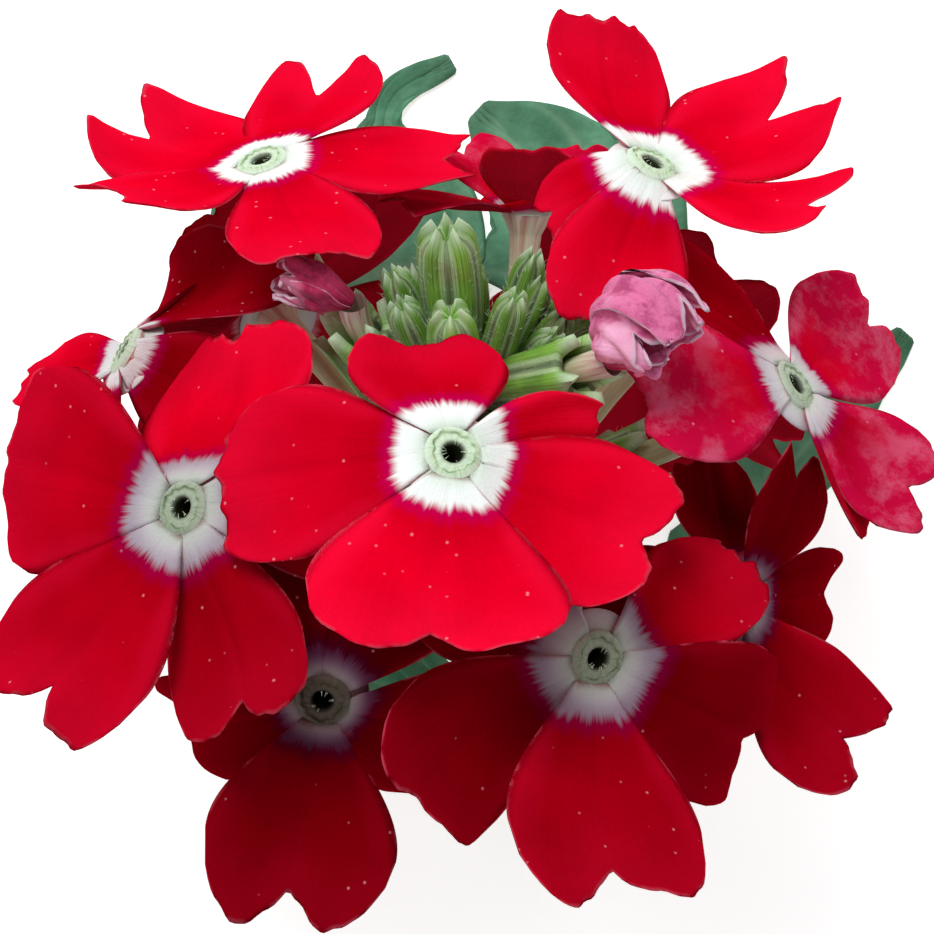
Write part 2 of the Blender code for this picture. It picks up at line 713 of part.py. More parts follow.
def add_pink_bud(name, bud, target):
    """Five petals folded round each other: a pointed oval whose radius steps up five times
    round it, the steps winding about its length, on a short tube."""
    path = pink_bud_path(bud)
    pointing = direction(bud.azimuth, bud.tilt)
    line = np.array(bud.centre) + np.outer([-bud.half_length, bud.half_length], pointing)
    rings = []
    low_power, round_power = BUD_SWELL
    for height in np.linspace(*BUD_ENDS, BUD_RINGS):
        swell = math.sin(math.pi * height**low_power) ** round_power
        around = np.arange(BUD_SIDES) * BUD_FOLDS / BUD_SIDES
        fold = (around % 1.0) * BUD_FOLD_DEPTH
        radii = bud.radius * swell * (1 - BUD_FOLD_DEPTH / 2 + fold)
        twist = math.radians(BUD_TWIST) * height
        rings.append(
            ring_round(line, height * 2 * bud.half_length, radii, np.zeros(BUD_SIDES), twist)
        )
    points = np.concatenate(rings)
    faces = grid_faces(BUD_RINGS, BUD_SIDES, closed=True)
    faces.append(tuple(range(BUD_SIDES))[::-1])
    last = len(points) - BUD_SIDES
    faces.append(tuple(last + k for k in range(BUD_SIDES)))
    pieces = collection("folded_" + name)
    face_outward(mesh_object("folded_petals", points, faces, pieces))
    places = np.linspace(tube_foot(path), lengths_along(path)[-1], 4)
    inside = path[-1] + pointing * BUD_TUBE_INSIDE
    ends = [*(point_at(path, place) for place in places), inside]
    stub = rod("bud_tube_" + name, ends, [TUBE_RADIUS] * len(ends), target)
    return fuse("bud_corolla_" + name, stub, pieces, target)


def leaf_stations(teeth):
    """Places along a leaf, two for each tooth: its notch and, further on, its tip."""
    notches = np.linspace(0, 1, teeth + 1)
    tips = notches[:-1] + 0.72 * np.diff(notches)
    return np.sort(np.concatenate([notches, tips]))


def leaf_surface(leaf, across, along):
    """Points of a leaf's middle surface: across the bent line by a toothed half width,
    dropping from the stem onto the surface, with a low ripple that flattens at its foot."""
    line = smooth_path([(x, y, 0.0) for x, y in leaf.line], 8)
    run = lengths_along(line)
    at = along * run[-1]
    centre = np.stack([np.interp(at, run, line[:, k]) for k in range(3)], -1)
    ahead = np.stack([np.interp(at + 0.5, run, line[:, k]) for k in range(3)], -1)
    behind = np.stack([np.interp(at - 0.5, run, line[:, k]) for k in range(3)], -1)
    heading = (ahead - behind) / np.linalg.norm(ahead - behind, axis=-1, keepdims=True)
    side = np.stack([-heading[..., 1], heading[..., 0], 0 * heading[..., 0]], -1)
    half = np.interp(along, np.linspace(0, 1, len(leaf.half_widths)), leaf.half_widths)
    place = along * leaf.teeth
    is_notch = np.abs(place - np.round(place)) < 1e-6
    toothed = half * np.where(is_notch & (np.abs(across) > 0.9), 1 - LEAF_TOOTH, 1.0)
    rest = LEAF_THICKNESS / 2
    drop = (leaf.height - rest) * np.clip(1 - along / LEAF_DROP, 0, 1) ** 2
    ripple = LEAF_RIPPLE * np.clip(np.sin(along * 3 * math.pi + 0.6) * np.abs(across) ** 2, 0, 1)
    centre = centre + side * (across * toothed)[..., None]
    centre[..., 2] = rest + drop + np.where(along > LEAF_DROP, ripple, 0.0)
    return centre


def add_leaf(name, leaf, target):
    stations = leaf_stations(leaf.teeth)
    across, along = np.meshgrid(np.array(LEAF_ACROSS), stations)
    points = leaf_surface(leaf, across, along)
    faces = grid_faces(len(stations), len(LEAF_ACROSS))
    made = mesh_object("leaf_" + name, points, faces, target)
    thicken(made, LEAF_THICKNESS)
    return as_mesh(made, "leaf_" + name, target)


def finish(made, look, holder, angle=50.0):
    """Give a piece its material and smooth shading, and hang it on the common empty."""
    made.data.materials.clear()
    made.data.materials.append(look)
    made.data.shade_smooth()
    made.data.set_sharp_from_angle(angle=math.radians(angle))
    made.parent = holder


def main():
    clear_scene()
    parts = collection("verbena")
    cutters = collection("cutters")
    holder = bpy.data.objects.new("verbena_origin", None)
    parts.objects.link(holder)
    red = material("petal_red", (0.78, 0.0, 0.025), 0.5)
    pink = material("bud_pink", (0.70, 0.16, 0.28), 0.6)
    green = material("calyx_green", (0.14, 0.27, 0.045), 0.6)
    leaf_green = material("leaf_green", (0.045, 0.15, 0.07), 0.6)
    finish(add_green_head(parts), green, holder)
    for name, floret in FLORETS.items():
        finish(add_corolla(name, floret, parts, cutters), red, holder)
    for name, bud in PINK_BUDS.items():
        finish(add_pink_bud(name, bud, parts), pink, holder)
    for name, leaf in LEAVES.items():
        finish(add_leaf(name, leaf, parts), leaf_green, holder)


main()
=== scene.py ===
# %% [markdown]
# # A red and white verbena head
# A verbena head is a short green stem tip, the rachis, crowded with separate florets. Each floret
# is a narrow tube that opens into five notched petals round a white eye, and it stands in a green
# ribbed cup, the calyx. The solid model already holds every piece in its place. Here each solid
# is dressed with a finer surface of the same form: thin waved petals, hairy calyces, veined
# leaves. Every surface is a formula over a grid of two parameters, worked out with numpy.

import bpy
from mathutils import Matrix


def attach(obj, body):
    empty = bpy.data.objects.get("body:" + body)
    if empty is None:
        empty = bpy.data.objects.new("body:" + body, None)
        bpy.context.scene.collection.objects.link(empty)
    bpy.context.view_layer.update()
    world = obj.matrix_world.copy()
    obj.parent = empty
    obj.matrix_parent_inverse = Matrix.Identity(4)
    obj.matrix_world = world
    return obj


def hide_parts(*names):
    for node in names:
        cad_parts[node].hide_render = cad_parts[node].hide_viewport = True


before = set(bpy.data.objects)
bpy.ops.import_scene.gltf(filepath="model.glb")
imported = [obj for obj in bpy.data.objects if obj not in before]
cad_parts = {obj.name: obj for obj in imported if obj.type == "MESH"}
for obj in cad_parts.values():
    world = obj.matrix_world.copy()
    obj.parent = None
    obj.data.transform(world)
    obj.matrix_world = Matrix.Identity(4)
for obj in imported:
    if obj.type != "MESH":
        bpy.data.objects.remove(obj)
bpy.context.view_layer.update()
print("solid pieces:", len(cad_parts))

# %% [markdown]
# ## Sizes that the head is drawn from
# Lengths are in millimetres and angles in degrees, as a botanist would give them, and are turned
# into metres once, when a mesh is made. The rachis rises at an angle from the surface. Its florets
# were drawn round a point beside the origin, so everything moves by one small shift at the end.

# %% The rachis and the shift onto the origin
import math
from collections import namedtuple

import bpy
import numpy as np
from mathutils import Vector

MM = 0.001
SHIFT = np.array([-0.76, -0.24, 0.0])
RACHIS_CENTRE = np.array([0.0, -2.0, 22.0])
RACHIS_TILT = 42.0
draw = np.random.default_rng(7)


def unit(vectors):
    """Each vector divided by its length."""
    return vectors / np.linalg.norm(vectors, axis=-1, keepdims=True)


def direction(azimuth, tilt):
    """A unit vector tilted from +Z towards an azimuth: (sin t cos a, sin t sin a, cos t)."""
    a, t = math.radians(azimuth), math.radians(tilt)
    return np.array([math.sin(t) * math.cos(a), math.sin(t) * math.sin(a), math.cos(t)])


RACHIS_AXIS = direction(90.0, 90.0 - RACHIS_TILT)


def rachis_point(place):
    """centre + axis * place"""
    return RACHIS_CENTRE + RACHIS_AXIS * place


print("the rachis points along", RACHIS_AXIS.round(3))

# %% [markdown]
# ## Meshes from arrays
# A patch is a piece of surface as plain arrays: points, faces, a flat plan of it for patterns, and
# five marks at each point that its colours read. One function joins patches into a mesh with
# foreach_set, which fills Blender's arrays in one go and is far quicker than a loop.

# %% Patches, and a mesh from a list of them
Patch = namedtuple("Patch", "points faces plan marks finish")


def quads(index, flip=False):
    """The four corners of every cell of a grid of point numbers, one row for each cell."""
    ring = [index[:-1, :-1], index[:-1, 1:], index[1:, 1:], index[1:, :-1]]
    corners = np.stack([corner.ravel() for corner in ring], axis=1)
    return corners[:, ::-1] if flip else corners


def marks_of(shape, seed=0.0, edge=0.0, tone=1.0, mottle=0.0, light=1.0):
    """Numbers for each point: a random seed, nearness to the outline, tone, mottling and light."""
    parts = (seed, edge, tone, mottle, light)
    return np.stack([np.broadcast_to(part, shape) for part in parts], axis=-1).reshape(-1, 5)


def tube_patch(points, finish, plan=None, **marks):
    """A surface that closes round on itself: the last column of the grid repeats the first."""
    shape = points.shape[:2]
    faces = quads(np.arange(shape[0] * shape[1]).reshape(shape))
    plan = ring_plan(*shape) if plan is None else plan
    return Patch(points.reshape(-1, 3), faces, plan.reshape(-1, 2), marks_of(shape, **marks), finish)


def build_piece(name, patches, finishes, nodes):
    """One mesh object from patches, riding on the part and standing for solids."""
    starts = np.cumsum([0] + [len(patch.points) for patch in patches])
    points = (np.concatenate([patch.points for patch in patches]) + SHIFT) * MM
    assert np.isfinite(points).all(), name
    corners = np.concatenate([(p.faces + start).ravel() for p, start in zip(patches, starts)])
    sides = np.concatenate([np.full(len(p.faces), p.faces.shape[1]) for p in patches])
    finish = np.concatenate([np.broadcast_to(p.finish, len(p.faces)) for p in patches])
    mesh = bpy.data.meshes.new(name)
    mesh.vertices.add(len(points))
    mesh.vertices.foreach_set("co", points.ravel().astype(np.float32))
    mesh.loops.add(len(corners))
    mesh.loops.foreach_set("vertex_index", corners.astype(np.int32))
    mesh.polygons.add(len(sides))
    mesh.polygons.foreach_set("loop_start", (np.cumsum(sides) - sides).astype(np.int32))
    for material in finishes:
        mesh.materials.append(material)
    mesh.polygons.foreach_set("material_index", finish.astype(np.int32))
    plan = mesh.uv_layers.new(name="plan")
    flat = np.concatenate([patch.plan for patch in patches])
    plan.data.foreach_set("uv", flat[corners].ravel().astype(np.float32))
    marks = mesh.attributes.new("marks", "FLOAT_COLOR", "POINT")
    values = np.concatenate([patch.marks for patch in patches]).astype(np.float32)
    marks.data.foreach_set("color", values[:, :4].ravel())
    mesh.attributes.new("light", "FLOAT", "POINT").data.foreach_set("value", values[:, 4].copy())
    mesh.update(calc_edges=True)
    mesh.validate()
    mesh.shade_smooth()
    piece = bpy.data.objects.new(name, mesh)
    bpy.context.scene.collection.objects.link(piece)
    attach(piece, "root")
    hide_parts(*nodes)
    print(f"{name}: {(sides - 2).sum()} triangles")


# %% [markdown]
# ## Thin blades
# A petal or a leaf is a sheet with a little thickness. Its upper and lower skins are the middle
# sheet moved half the thickness either way along its normal, and they meet in a fine edge, as a
# real petal's do. A Solidify modifier would leave a blunt square rim instead.

# %% A sheet with two skins


def normals_of(sheet):
    """The cross product of the grid's two directions, along and across, made one long."""
    return unit(np.cross(np.gradient(sheet, axis=0), np.gradient(sheet, axis=1)))


def blade_patch(sheet, thickness, plan, marks, upper=0, lower=1):
    """Skins at sheet + normal * t / 2 and sheet - normal * t / 2 that share the outline's points."""
    rows, columns = sheet.shape[:2]
    inner = np.zeros((rows, columns), bool)
    inner[1:-1, 1:-1] = True
    lift = normals_of(sheet) * (np.where(inner, thickness, 0.0) / 2)[..., None]
    top = np.arange(rows * columns).reshape(rows, columns)
    low = top.copy()
    low[inner] = rows * columns + np.arange(inner.sum())
    points = np.concatenate([(sheet + lift).reshape(-1, 3), (sheet - lift)[inner]])
    faces = np.concatenate([quads(top, flip=True), quads(low)])
    finish = np.repeat([upper, lower], len(faces) // 2)
    flat = np.concatenate([plan.reshape(-1, 2), plan[inner]])
    both = np.concatenate([marks, marks.reshape(rows, columns, 5)[inner]])
    return Patch(points, faces, flat, both, finish)


def rows_and_columns(rows, columns):
    """across from -1 to 1 by columns, along from 0 to 1 by rows, as two grids."""
    return np.meshgrid(np.linspace(-1, 1, columns), np.linspace(0, 1, rows))


# %% [markdown]
# ## Surfaces along a path
# Tubes, calyces, buds and the stem are all a ring carried along a curved path. At each place the
# ring lies across the path's heading, and each of its points has its own radius and its own
# shift along the heading, which is how ribs and teeth are made.

# %% Paths, and rings along them


def bent_path(start, bend, end, count=81):
    """The curve (1 - t)^2 start + 2 t (1 - t) bend + t^2 end."""
    t = np.linspace(0, 1, count)[:, None]
    return (1 - t) ** 2 * start + 2 * t * (1 - t) * bend + t**2 * end


def lengths_of(path):
    """How far along the path each of its points is."""
    return np.concatenate([[0.0], np.cumsum(np.linalg.norm(np.diff(path, axis=0), axis=1))])


def points_at(path, places):
    """The path's points at distances along it."""
    run = lengths_of(path)
    return np.stack([np.interp(places, run, path[:, axis]) for axis in range(3)], -1)


def along_path(path, places):
    """Centre, heading and two directions across the heading, at places along a path."""
    centre, before, after = (points_at(path, places + shift) for shift in (0.0, -0.2, 0.2))
    heading = unit(after - before)
    first = unit(np.cross(heading, RACHIS_AXIS + 0.31))
    return centre, heading, first, np.cross(heading, first)


def ring_surface(path, places, radii, angles, shifts=0.0):
    """centre + (cos angle * first + sin angle * second) * radius + heading * shift"""
    centre, heading, first, second = along_path(path, np.asarray(places, float)[:, None])
    spread = np.cos(angles)[..., None] * first + np.sin(angles)[..., None] * second
    return centre + spread * radii[..., None] + heading * np.asarray(shifts)[..., None]


def pole(path, place, angles):
    """A ring so small that it closes a surface."""
    return ring_surface(path, [place], np.full(angles.shape, 0.02), angles)


def ring_angles(count):
    return np.linspace(0, 2 * math.pi, count + 1)[None, :]


def ring_plan(rows, columns):
    """(turn round the ring, place along the path), each from 0 to 1."""
    turn, place = np.meshgrid(np.linspace(0, 1, columns), np.linspace(0, 1, rows))
    return np.stack([turn, place], axis=-1)


# %% [markdown]
# ## Hairs
# Calyces, stems and buds are covered in short pale hairs, which is why their green looks soft.
# A hair is a spike with three sides and no base, since its root is inside the skin it grows from.

# %% Spikes rooted in a surface
HAIR = 1  # the hairs' place in a piece's list of finishes


def hair_patch(roots, headings, length, radius, finish):
    """Three base points round each root, and a tip at root + heading * length."""
    side = unit(np.cross(headings, [0.31, 0.47, 0.83]))
    other = np.cross(headings, side)
    turns = (np.arange(3) * 2 * math.pi / 3)[:, None]
    around = np.cos(turns) * side[:, None] + np.sin(turns) * other[:, None]
    base = roots[:, None] + radius * around
    tips = roots + headings * np.reshape(length, (-1, 1))
    points = np.concatenate([base, tips[:, None]], axis=1).reshape(-1, 3)
    first = 4 * np.arange(len(roots))[:, None]
    faces = np.concatenate([first + [0, 1, 3], first + [1, 2, 3], first + [2, 0, 3]])
    plan = np.tile([[0.5, 0.0], [0.5, 0.0], [0.5, 0.0], [0.5, 1.0]], (len(roots), 1))
    return Patch(points, faces, plan, marks_of(len(points)), finish)


def hairs_on(surface, count, length, radius, lean=0.35):
    """Hairs at random cells of a surface, along its normal with some lean and scatter."""
    rows = draw.integers(1, surface.shape[0] - 1, count)
    columns = draw.integers(0, surface.shape[1], count)
    out = -normals_of(surface)[rows, columns]
    along = unit(np.gradient(surface, axis=0))[rows, columns]
    heading = unit(out + lean * along + draw.normal(0, 0.3, (count, 3)))
    roots = surface[rows, columns] - 0.05 * heading
    return hair_patch(roots, heading, length * draw.uniform(0.6, 1.3, count), radius, HAIR)


# %% [markdown]
# ## Node helpers
# A material is a small program. The first class writes it the way a formula is read: a method for
# arithmetic, one for noise, one for a smooth step, one for mixing two colours. The second starts a
# material, and a function starts a group of nodes that several materials share. Where a noise is
# laid out in the object's own coordinates, its scale counts waves to the metre.

# %% Short names for shader nodes


def colour(red, green, blue):
    """A screen colour from 0 to 255 as the linear colour that a shader takes."""
    screen = np.array([red, green, blue]) / 255
    linear = np.where(screen <= 0.04045, screen / 12.92, ((screen + 0.055) / 1.055) ** 2.4)
    return (*linear.tolist(), 1.0)


class Recipe:
    """A node tree written as a formula is read: each method adds nodes and gives an output."""

    def __init__(self, tree):
        self.tree = tree

    def add(self, kind, values=(), sockets=None, **settings):
        """A node with its settings, and with numbers or other outputs in its sockets."""
        node = self.tree.nodes.new(kind)
        for name, setting in settings.items():
            setattr(node, name, setting)
        for socket, value in zip(sockets or range(len(values)), values):
            if isinstance(value, bpy.types.NodeSocket):
                self.tree.links.new(value, node.inputs[socket])
            else:
                node.inputs[socket].default_value = value
        return node.outputs

    def work(self, operation, *values):
        return self.add("ShaderNodeMath", values, operation=operation)[0]

    def times(self, first, second):
        return self.work("MULTIPLY", first, second)

    def plus(self, first, second):
        return self.work("ADD", first, second)

    def minus(self, first, second):
        return self.work("SUBTRACT", first, second)

    def rest(self, value):
        """1 - value"""
        return self.minus(1.0, value)

    def step(self, value, low, high):
        """0 at low, 1 at high, and a smooth rise between."""
        return self.add("ShaderNodeMapRange", (value, low, high), interpolation_type="SMOOTHSTEP")[0]

    def blend(self, factor, first, second, kind="MIX"):
        """first at 0 and second at 1; a tuple is a screen colour from 0 to 255."""
        sides = (colour(*side) if isinstance(side, tuple) else side for side in (first, second))
        values = (factor, *sides)
        return self.add("ShaderNodeMix", values, (0, 6, 7), data_type="RGBA", blend_type=kind)[2]

    def vector(self, *values):
        return self.add("ShaderNodeCombineXYZ", values)[0]

    def parts(self, value):
        return self.add("ShaderNodeSeparateXYZ", (value,))

    def noise(self, place, scale, detail=2.0, rough=0.5):
        sockets = ("Vector", "Scale", "Detail", "Roughness")
        return self.add("ShaderNodeTexNoise", (place, scale, detail, rough), sockets)["Fac"]

    def cells(self, place, scale):
        """Distance to the nearest of scattered points, and a random colour for each of them."""
        found = self.add("ShaderNodeTexVoronoi", (place, scale), ("Vector", "Scale"))
        return found["Distance"], found["Color"]

    def group(self, group, *values):
        return self.add("ShaderNodeGroup", values, node_tree=group)

    def plan(self):
        return self.parts(self.add("ShaderNodeUVMap", uv_map="plan")[0])

    def marks(self):
        """seed, edge, tone and mottle, as painted on the points."""
        painted = self.add("ShaderNodeAttribute", attribute_name="marks")
        return *self.parts(painted["Color"]), painted["Alpha"]

    def light(self):
        """How much light reaches a floret's eye, painted with the marks."""
        return self.add("ShaderNodeAttribute", attribute_name="light")["Fac"]

    def place(self):
        return self.add("ShaderNodeTexCoord")["Object"]


print("helpers ready")

# %% A material, and a group of nodes


class Finish(Recipe):
    """A material, whose even values are set on its Principled shader's own sockets."""

    def __init__(self, name, roughness, specular=0.25, sheen=0.0, sheen_tint=(1, 1, 1, 1)):
        self.material = bpy.data.materials.new(name)
        self.material.use_nodes = True
        super().__init__(self.material.node_tree)
        self.shader = self.tree.nodes["Principled BSDF"].inputs
        self.shader["Roughness"].default_value = roughness
        self.shader["Specular IOR Level"].default_value = specular
        self.shader["Sheen Weight"].default_value = sheen
        self.shader["Sheen Tint"].default_value = sheen_tint

    def complete(self, base, height=None, distance=0.0):
        """The base colour, and a Bump node from a height; distance in millimetres."""
        self.tree.links.new(base, self.shader["Base Color"])
        if height is not None:
            bump = self.add("ShaderNodeBump", (distance * MM, height), ("Distance", "Height"))
            self.tree.links.new(bump[0], self.shader["Normal"])
        return self.material


def new_group(name, inputs, outputs):
    """An empty node group with its sockets: the group, its recipe, its inputs and its outputs."""
    group = bpy.data.node_groups.new(name, "ShaderNodeTree")
    for way, sockets in (("INPUT", inputs), ("OUTPUT", outputs)):
        for label, kind in sockets.items():
            group.interface.new_socket(label, in_out=way, socket_type=kind)
    given = group.nodes.new("NodeGroupInput").outputs
    return group, Recipe(group), given, group.nodes.new("NodeGroupOutput").inputs


print("materials and groups can be made")

# %% [markdown]
# ## The velvet of petals
# Seen close, a verbena petal is covered in tiny blunt cells that catch the light, with faint veins
# that fan out from the eye and a few pale specks of pollen. The red petals and the pink buds
# share this, so it is a node group with its own inputs, built once.

# %% A group for veins, grain and specks
COLOUR, VALUE = "NodeSocketColor", "NodeSocketFloat"


def make_velvet():
    group, n, given, result = new_group(
        "petal velvet", {"Colour": COLOUR, "Specks": VALUE}, {"Colour": COLOUR, "Height": VALUE}
    )
    across, forward, _ = n.plan()
    seed = n.marks()[0]
    place = n.place()
    fan = n.vector(n.times(across, 22.0), forward, n.times(seed, 9.0))
    veins = n.noise(fan, 1.6, 3.0)
    grain = n.noise(place, 5200.0, 1.0)
    clouds = n.noise(place, 300.0, 3.0)
    shade = n.plus(n.times(veins, 0.10), n.times(clouds, 0.42))
    shade = n.plus(n.plus(shade, n.times(grain, 0.12)), 0.68)
    shaded = n.blend(1.0, given[0], n.vector(shade, shade, shade), "MULTIPLY")
    near, chance = n.cells(place, 2300.0)
    patchy = n.step(n.noise(place, 150.0), 0.45, 0.65)
    chosen = n.times(given[1], n.plus(patchy, 0.25))
    lucky = n.work("LESS_THAN", n.parts(chance)[0], chosen)
    speck = n.times(n.rest(n.step(near, 0.05, 0.27)), lucky)
    specked = n.blend(n.times(speck, 0.55), shaded, (250, 165, 180))
    group.links.new(specked, result[0])
    group.links.new(n.plus(n.times(veins, 0.8), n.times(grain, 0.5)), result[1])
    return group


velvet = make_velvet()
print("velvet group:", len(velvet.nodes), "nodes")

# %% [markdown]
# ## Red petals with a white eye
# The plan of a petal is its flattened shape, with the middle of the eye at its foot, so the
# distance from there paints the eye. Noise that changes quickly round the eye and slowly away from
# it frays the white into rays, and a narrow magenta band lies where it meets the red. Both skins
# of a petal use these masks, so they are a group too.

# %% A group for the eye
PLAN_SPAN = 20.0
WHITE_RADIUS = 3.0
EYE_FRAY = 1.5


def make_eye():
    """How white and how magenta each point is, and its distance to the eye's centre, in mm."""
    masks = dict.fromkeys(("White", "Fringe", "Reach"), VALUE)
    group, n, given, result = new_group("floret eye", {"Fray": VALUE}, masks)
    across, forward, _ = n.plan()
    seed = n.marks()[0]
    reach = n.times(forward, PLAN_SPAN)
    side = n.work("ABSOLUTE", n.minus(n.times(across, 2.0), 1.0))
    rays = n.noise(n.vector(n.times(across, 11.0), 0.0, n.times(seed, 7.0)), 1.3, 3.0, 0.6)
    frayed = n.plus(reach, n.times(n.minus(rays, 0.5), given[0]))
    frayed = n.minus(frayed, n.times(n.work("POWER", side, 2.0), 0.4))
    white = n.rest(n.step(frayed, WHITE_RADIUS - 0.15, WHITE_RADIUS + 0.55))
    outside = n.rest(n.step(frayed, WHITE_RADIUS + 0.2, WHITE_RADIUS + 1.5))
    fringe = n.times(n.step(frayed, WHITE_RADIUS - 0.2, WHITE_RADIUS + 0.35), outside)
    for value, socket in zip((white, fringe, reach), result):
        group.links.new(value, socket)
    return group


eye_masks = make_eye()
print("eye group:", len(eye_masks.nodes), "nodes")

# %% The upper skin and the under skin of a petal


def eye_white(n, light, reach):
    """White in the light and dim lavender in the shade, with a little green round the throat."""
    shaded = n.rest(light)
    outward = n.step(reach, 1.4, 3.4)
    lilac = n.times(n.times(shaded, 0.9), outward)
    lit = n.blend(lilac, (244, 251, 249), (158, 112, 168))
    reached = n.plus(light, n.times(shaded, n.times(n.rest(outward), 0.35)))
    white = n.blend(reached, (78, 30, 58), lit)
    greenish = n.times(n.rest(n.step(reach, 1.3, 2.6)), 0.45)
    return n.blend(greenish, white, n.blend(light, (90, 76, 52), (176, 208, 170)))


def make_petal_red():
    n = Finish("verbena red", 0.8, 0.0, 0.2, (1.0, 0.0, 0.02, 1.0))
    white, fringe, reach = n.group(eye_masks, EYE_FRAY)
    _, edge, tone, mottle = n.marks()
    # Painted shade: tone darkens the red on petals that lie in shade, and partly gives a petal its
    # own deeper red.
    red = n.blend(tone, (84, 0, 2), (224, 0, 34))
    # Painted shade: a deeper red towards the eye, where the petals dip into the hollow of the
    # corolla.
    shade_near_eye = n.times(n.rest(n.step(reach, 3.2, 7.5)), 0.4)
    red = n.blend(shade_near_eye, red, n.blend(tone, (40, 0, 0), (168, 0, 8)))
    # Painted highlight: a lighter, pinker red over the outer half of the petal, towards its edge.
    outer = n.blend(tone, (108, 0, 10), (238, 16, 58))
    red = n.blend(n.times(n.step(edge, 0.5, 1.0), 0.55), red, outer)
    bright = n.times(mottle, n.step(tone, 0.22, 0.4))
    red = n.blend(n.times(bright, n.step(edge, 0.1, 0.8)), red, (198, 12, 66))
    blotch = n.step(n.noise(n.place(), 380.0, 5.0, 0.7), 0.44, 0.66)
    pink = n.times(blotch, n.times(bright, n.step(edge, 0.2, 0.9)))
    red = n.blend(n.times(pink, 0.6), red, (216, 112, 146))
    # Painted highlight: a thin, broken pale line along the petal's edge, where it catches the light.
    broken = n.step(n.noise(n.place(), 700.0), 0.42, 0.6)
    rim = n.times(n.times(n.step(edge, 0.972, 1.0), 0.55), broken)
    red = n.blend(rim, red, (236, 92, 116))
    skin, height = n.group(velvet, red, 0.075)
    light = n.light()
    magenta = n.blend(light, (60, 0, 34), (190, 0, 96))
    skin = n.blend(n.times(fringe, 0.7), skin, magenta)
    skin = n.blend(white, skin, eye_white(n, light, reach))
    return n.complete(skin, height, 0.05)


def make_petal_under():
    n = Finish("verbena red underside", 0.8, 0.0, 0.2, (1.0, 0.05, 0.1, 1.0))
    # Painted shade: tone darkens the underside's red on shaded petals, and partly gives its own
    # deeper red.
    red = n.blend(n.marks()[2], (84, 2, 10), (204, 14, 44))
    skin, height = n.group(velvet, red, 0.02)
    white = n.group(eye_masks, EYE_FRAY)[0]
    return n.complete(n.blend(n.times(white, 0.7), skin, (208, 140, 156)), height, 0.07)


petal_red, petal_under = make_petal_red(), make_petal_under()
print("petal finishes:", petal_red.name, "and", petal_under.name)

# %% [markdown]
# ## The throat and the tube
# In the middle of the white eye is a pale green collar with fine crimps, round a hole that is the
# mouth of the floret's tube, painted near black as the shade inside it. The tube itself is pale red,
# and shows only from the side. Both colours follow the plan's second number, the place along the
# surface, and the collar is also darkened as painted shade where little light reaches the eye.

# %% Finishes for the collar and the tube


def make_collar_green():
    n = Finish("throat green", 0.6, 0.15)
    turn, place, _ = n.plan()
    crimps = n.noise(n.vector(n.times(turn, 30.0), place, 0.0), 1.0)
    wander = n.plus(place, n.times(n.minus(crimps, 0.5), 0.12))
    rim = n.blend(n.step(wander, 0.08, 0.26), (218, 236, 216), (202, 224, 190))
    patchy = n.step(n.noise(n.vector(n.times(turn, 6.0), 0.0, 4.0), 1.0), 0.35, 0.7)
    lip = n.blend(n.times(n.step(wander, 0.24, 0.38), patchy), rim, (84, 124, 72))
    bowl = n.blend(n.step(wander, 0.38, 0.5), lip, (212, 232, 204))
    fine = n.noise(n.vector(n.times(turn, 60.0), place, 0.0), 1.0)
    bowl = n.blend(n.times(n.step(fine, 0.5, 0.75), 0.45), bowl, (120, 152, 104))
    # Painted shade: near black down in the mouth of the tube.
    deep = n.blend(n.step(place, 0.58, 0.76), bowl, (34, 38, 18))
    dim = n.blend(n.light(), (104, 84, 84), (255, 255, 255))
    return n.complete(n.blend(1.0, deep, dim, "MULTIPLY"), crimps, 0.04)


def make_tube_pale():
    n = Finish("tube pale red", 0.6, 0.2)
    turn, place, _ = n.plan()
    streaks = n.noise(n.vector(n.times(turn, 18.0), place, 0.0), 1.0, 3.0)
    pale = n.blend(n.step(streaks, 0.3, 0.7), (232, 224, 214), (196, 122, 128))
    return n.complete(n.blend(place, (178, 190, 130), pale), streaks, 0.05)


collar_green, tube_pale = make_collar_green(), make_tube_pale()
print("throat finishes:", collar_green.name, "and", tube_pale.name)

# %% [markdown]
# ## Where each floret stands
# A floret is set down by the middle of its eye, the way it faces, and the place on the rachis
# that its tube comes from. Each petal has its direction round the eye, its length and width, how
# it lifts and curls, its roll about its midrib and the depth of its notch, then its tone, which is
# painted shade, low on petals that lie in shade, and partly the petal's own deeper red, and
# sometimes a horn at each corner. A floret also has its mottling, the light that reaches its eye,
# and the radius of its white in millimetres.

# %% The open florets
# A petal's tone is partly painted shade: it is low on petals that lie in shade.
Petal = namedtuple("Petal", "turn long wide lift curl roll notch tone horn", defaults=[0.0])
Floret = namedtuple("Floret", "eye azimuth tilt foot mottle light white petals")

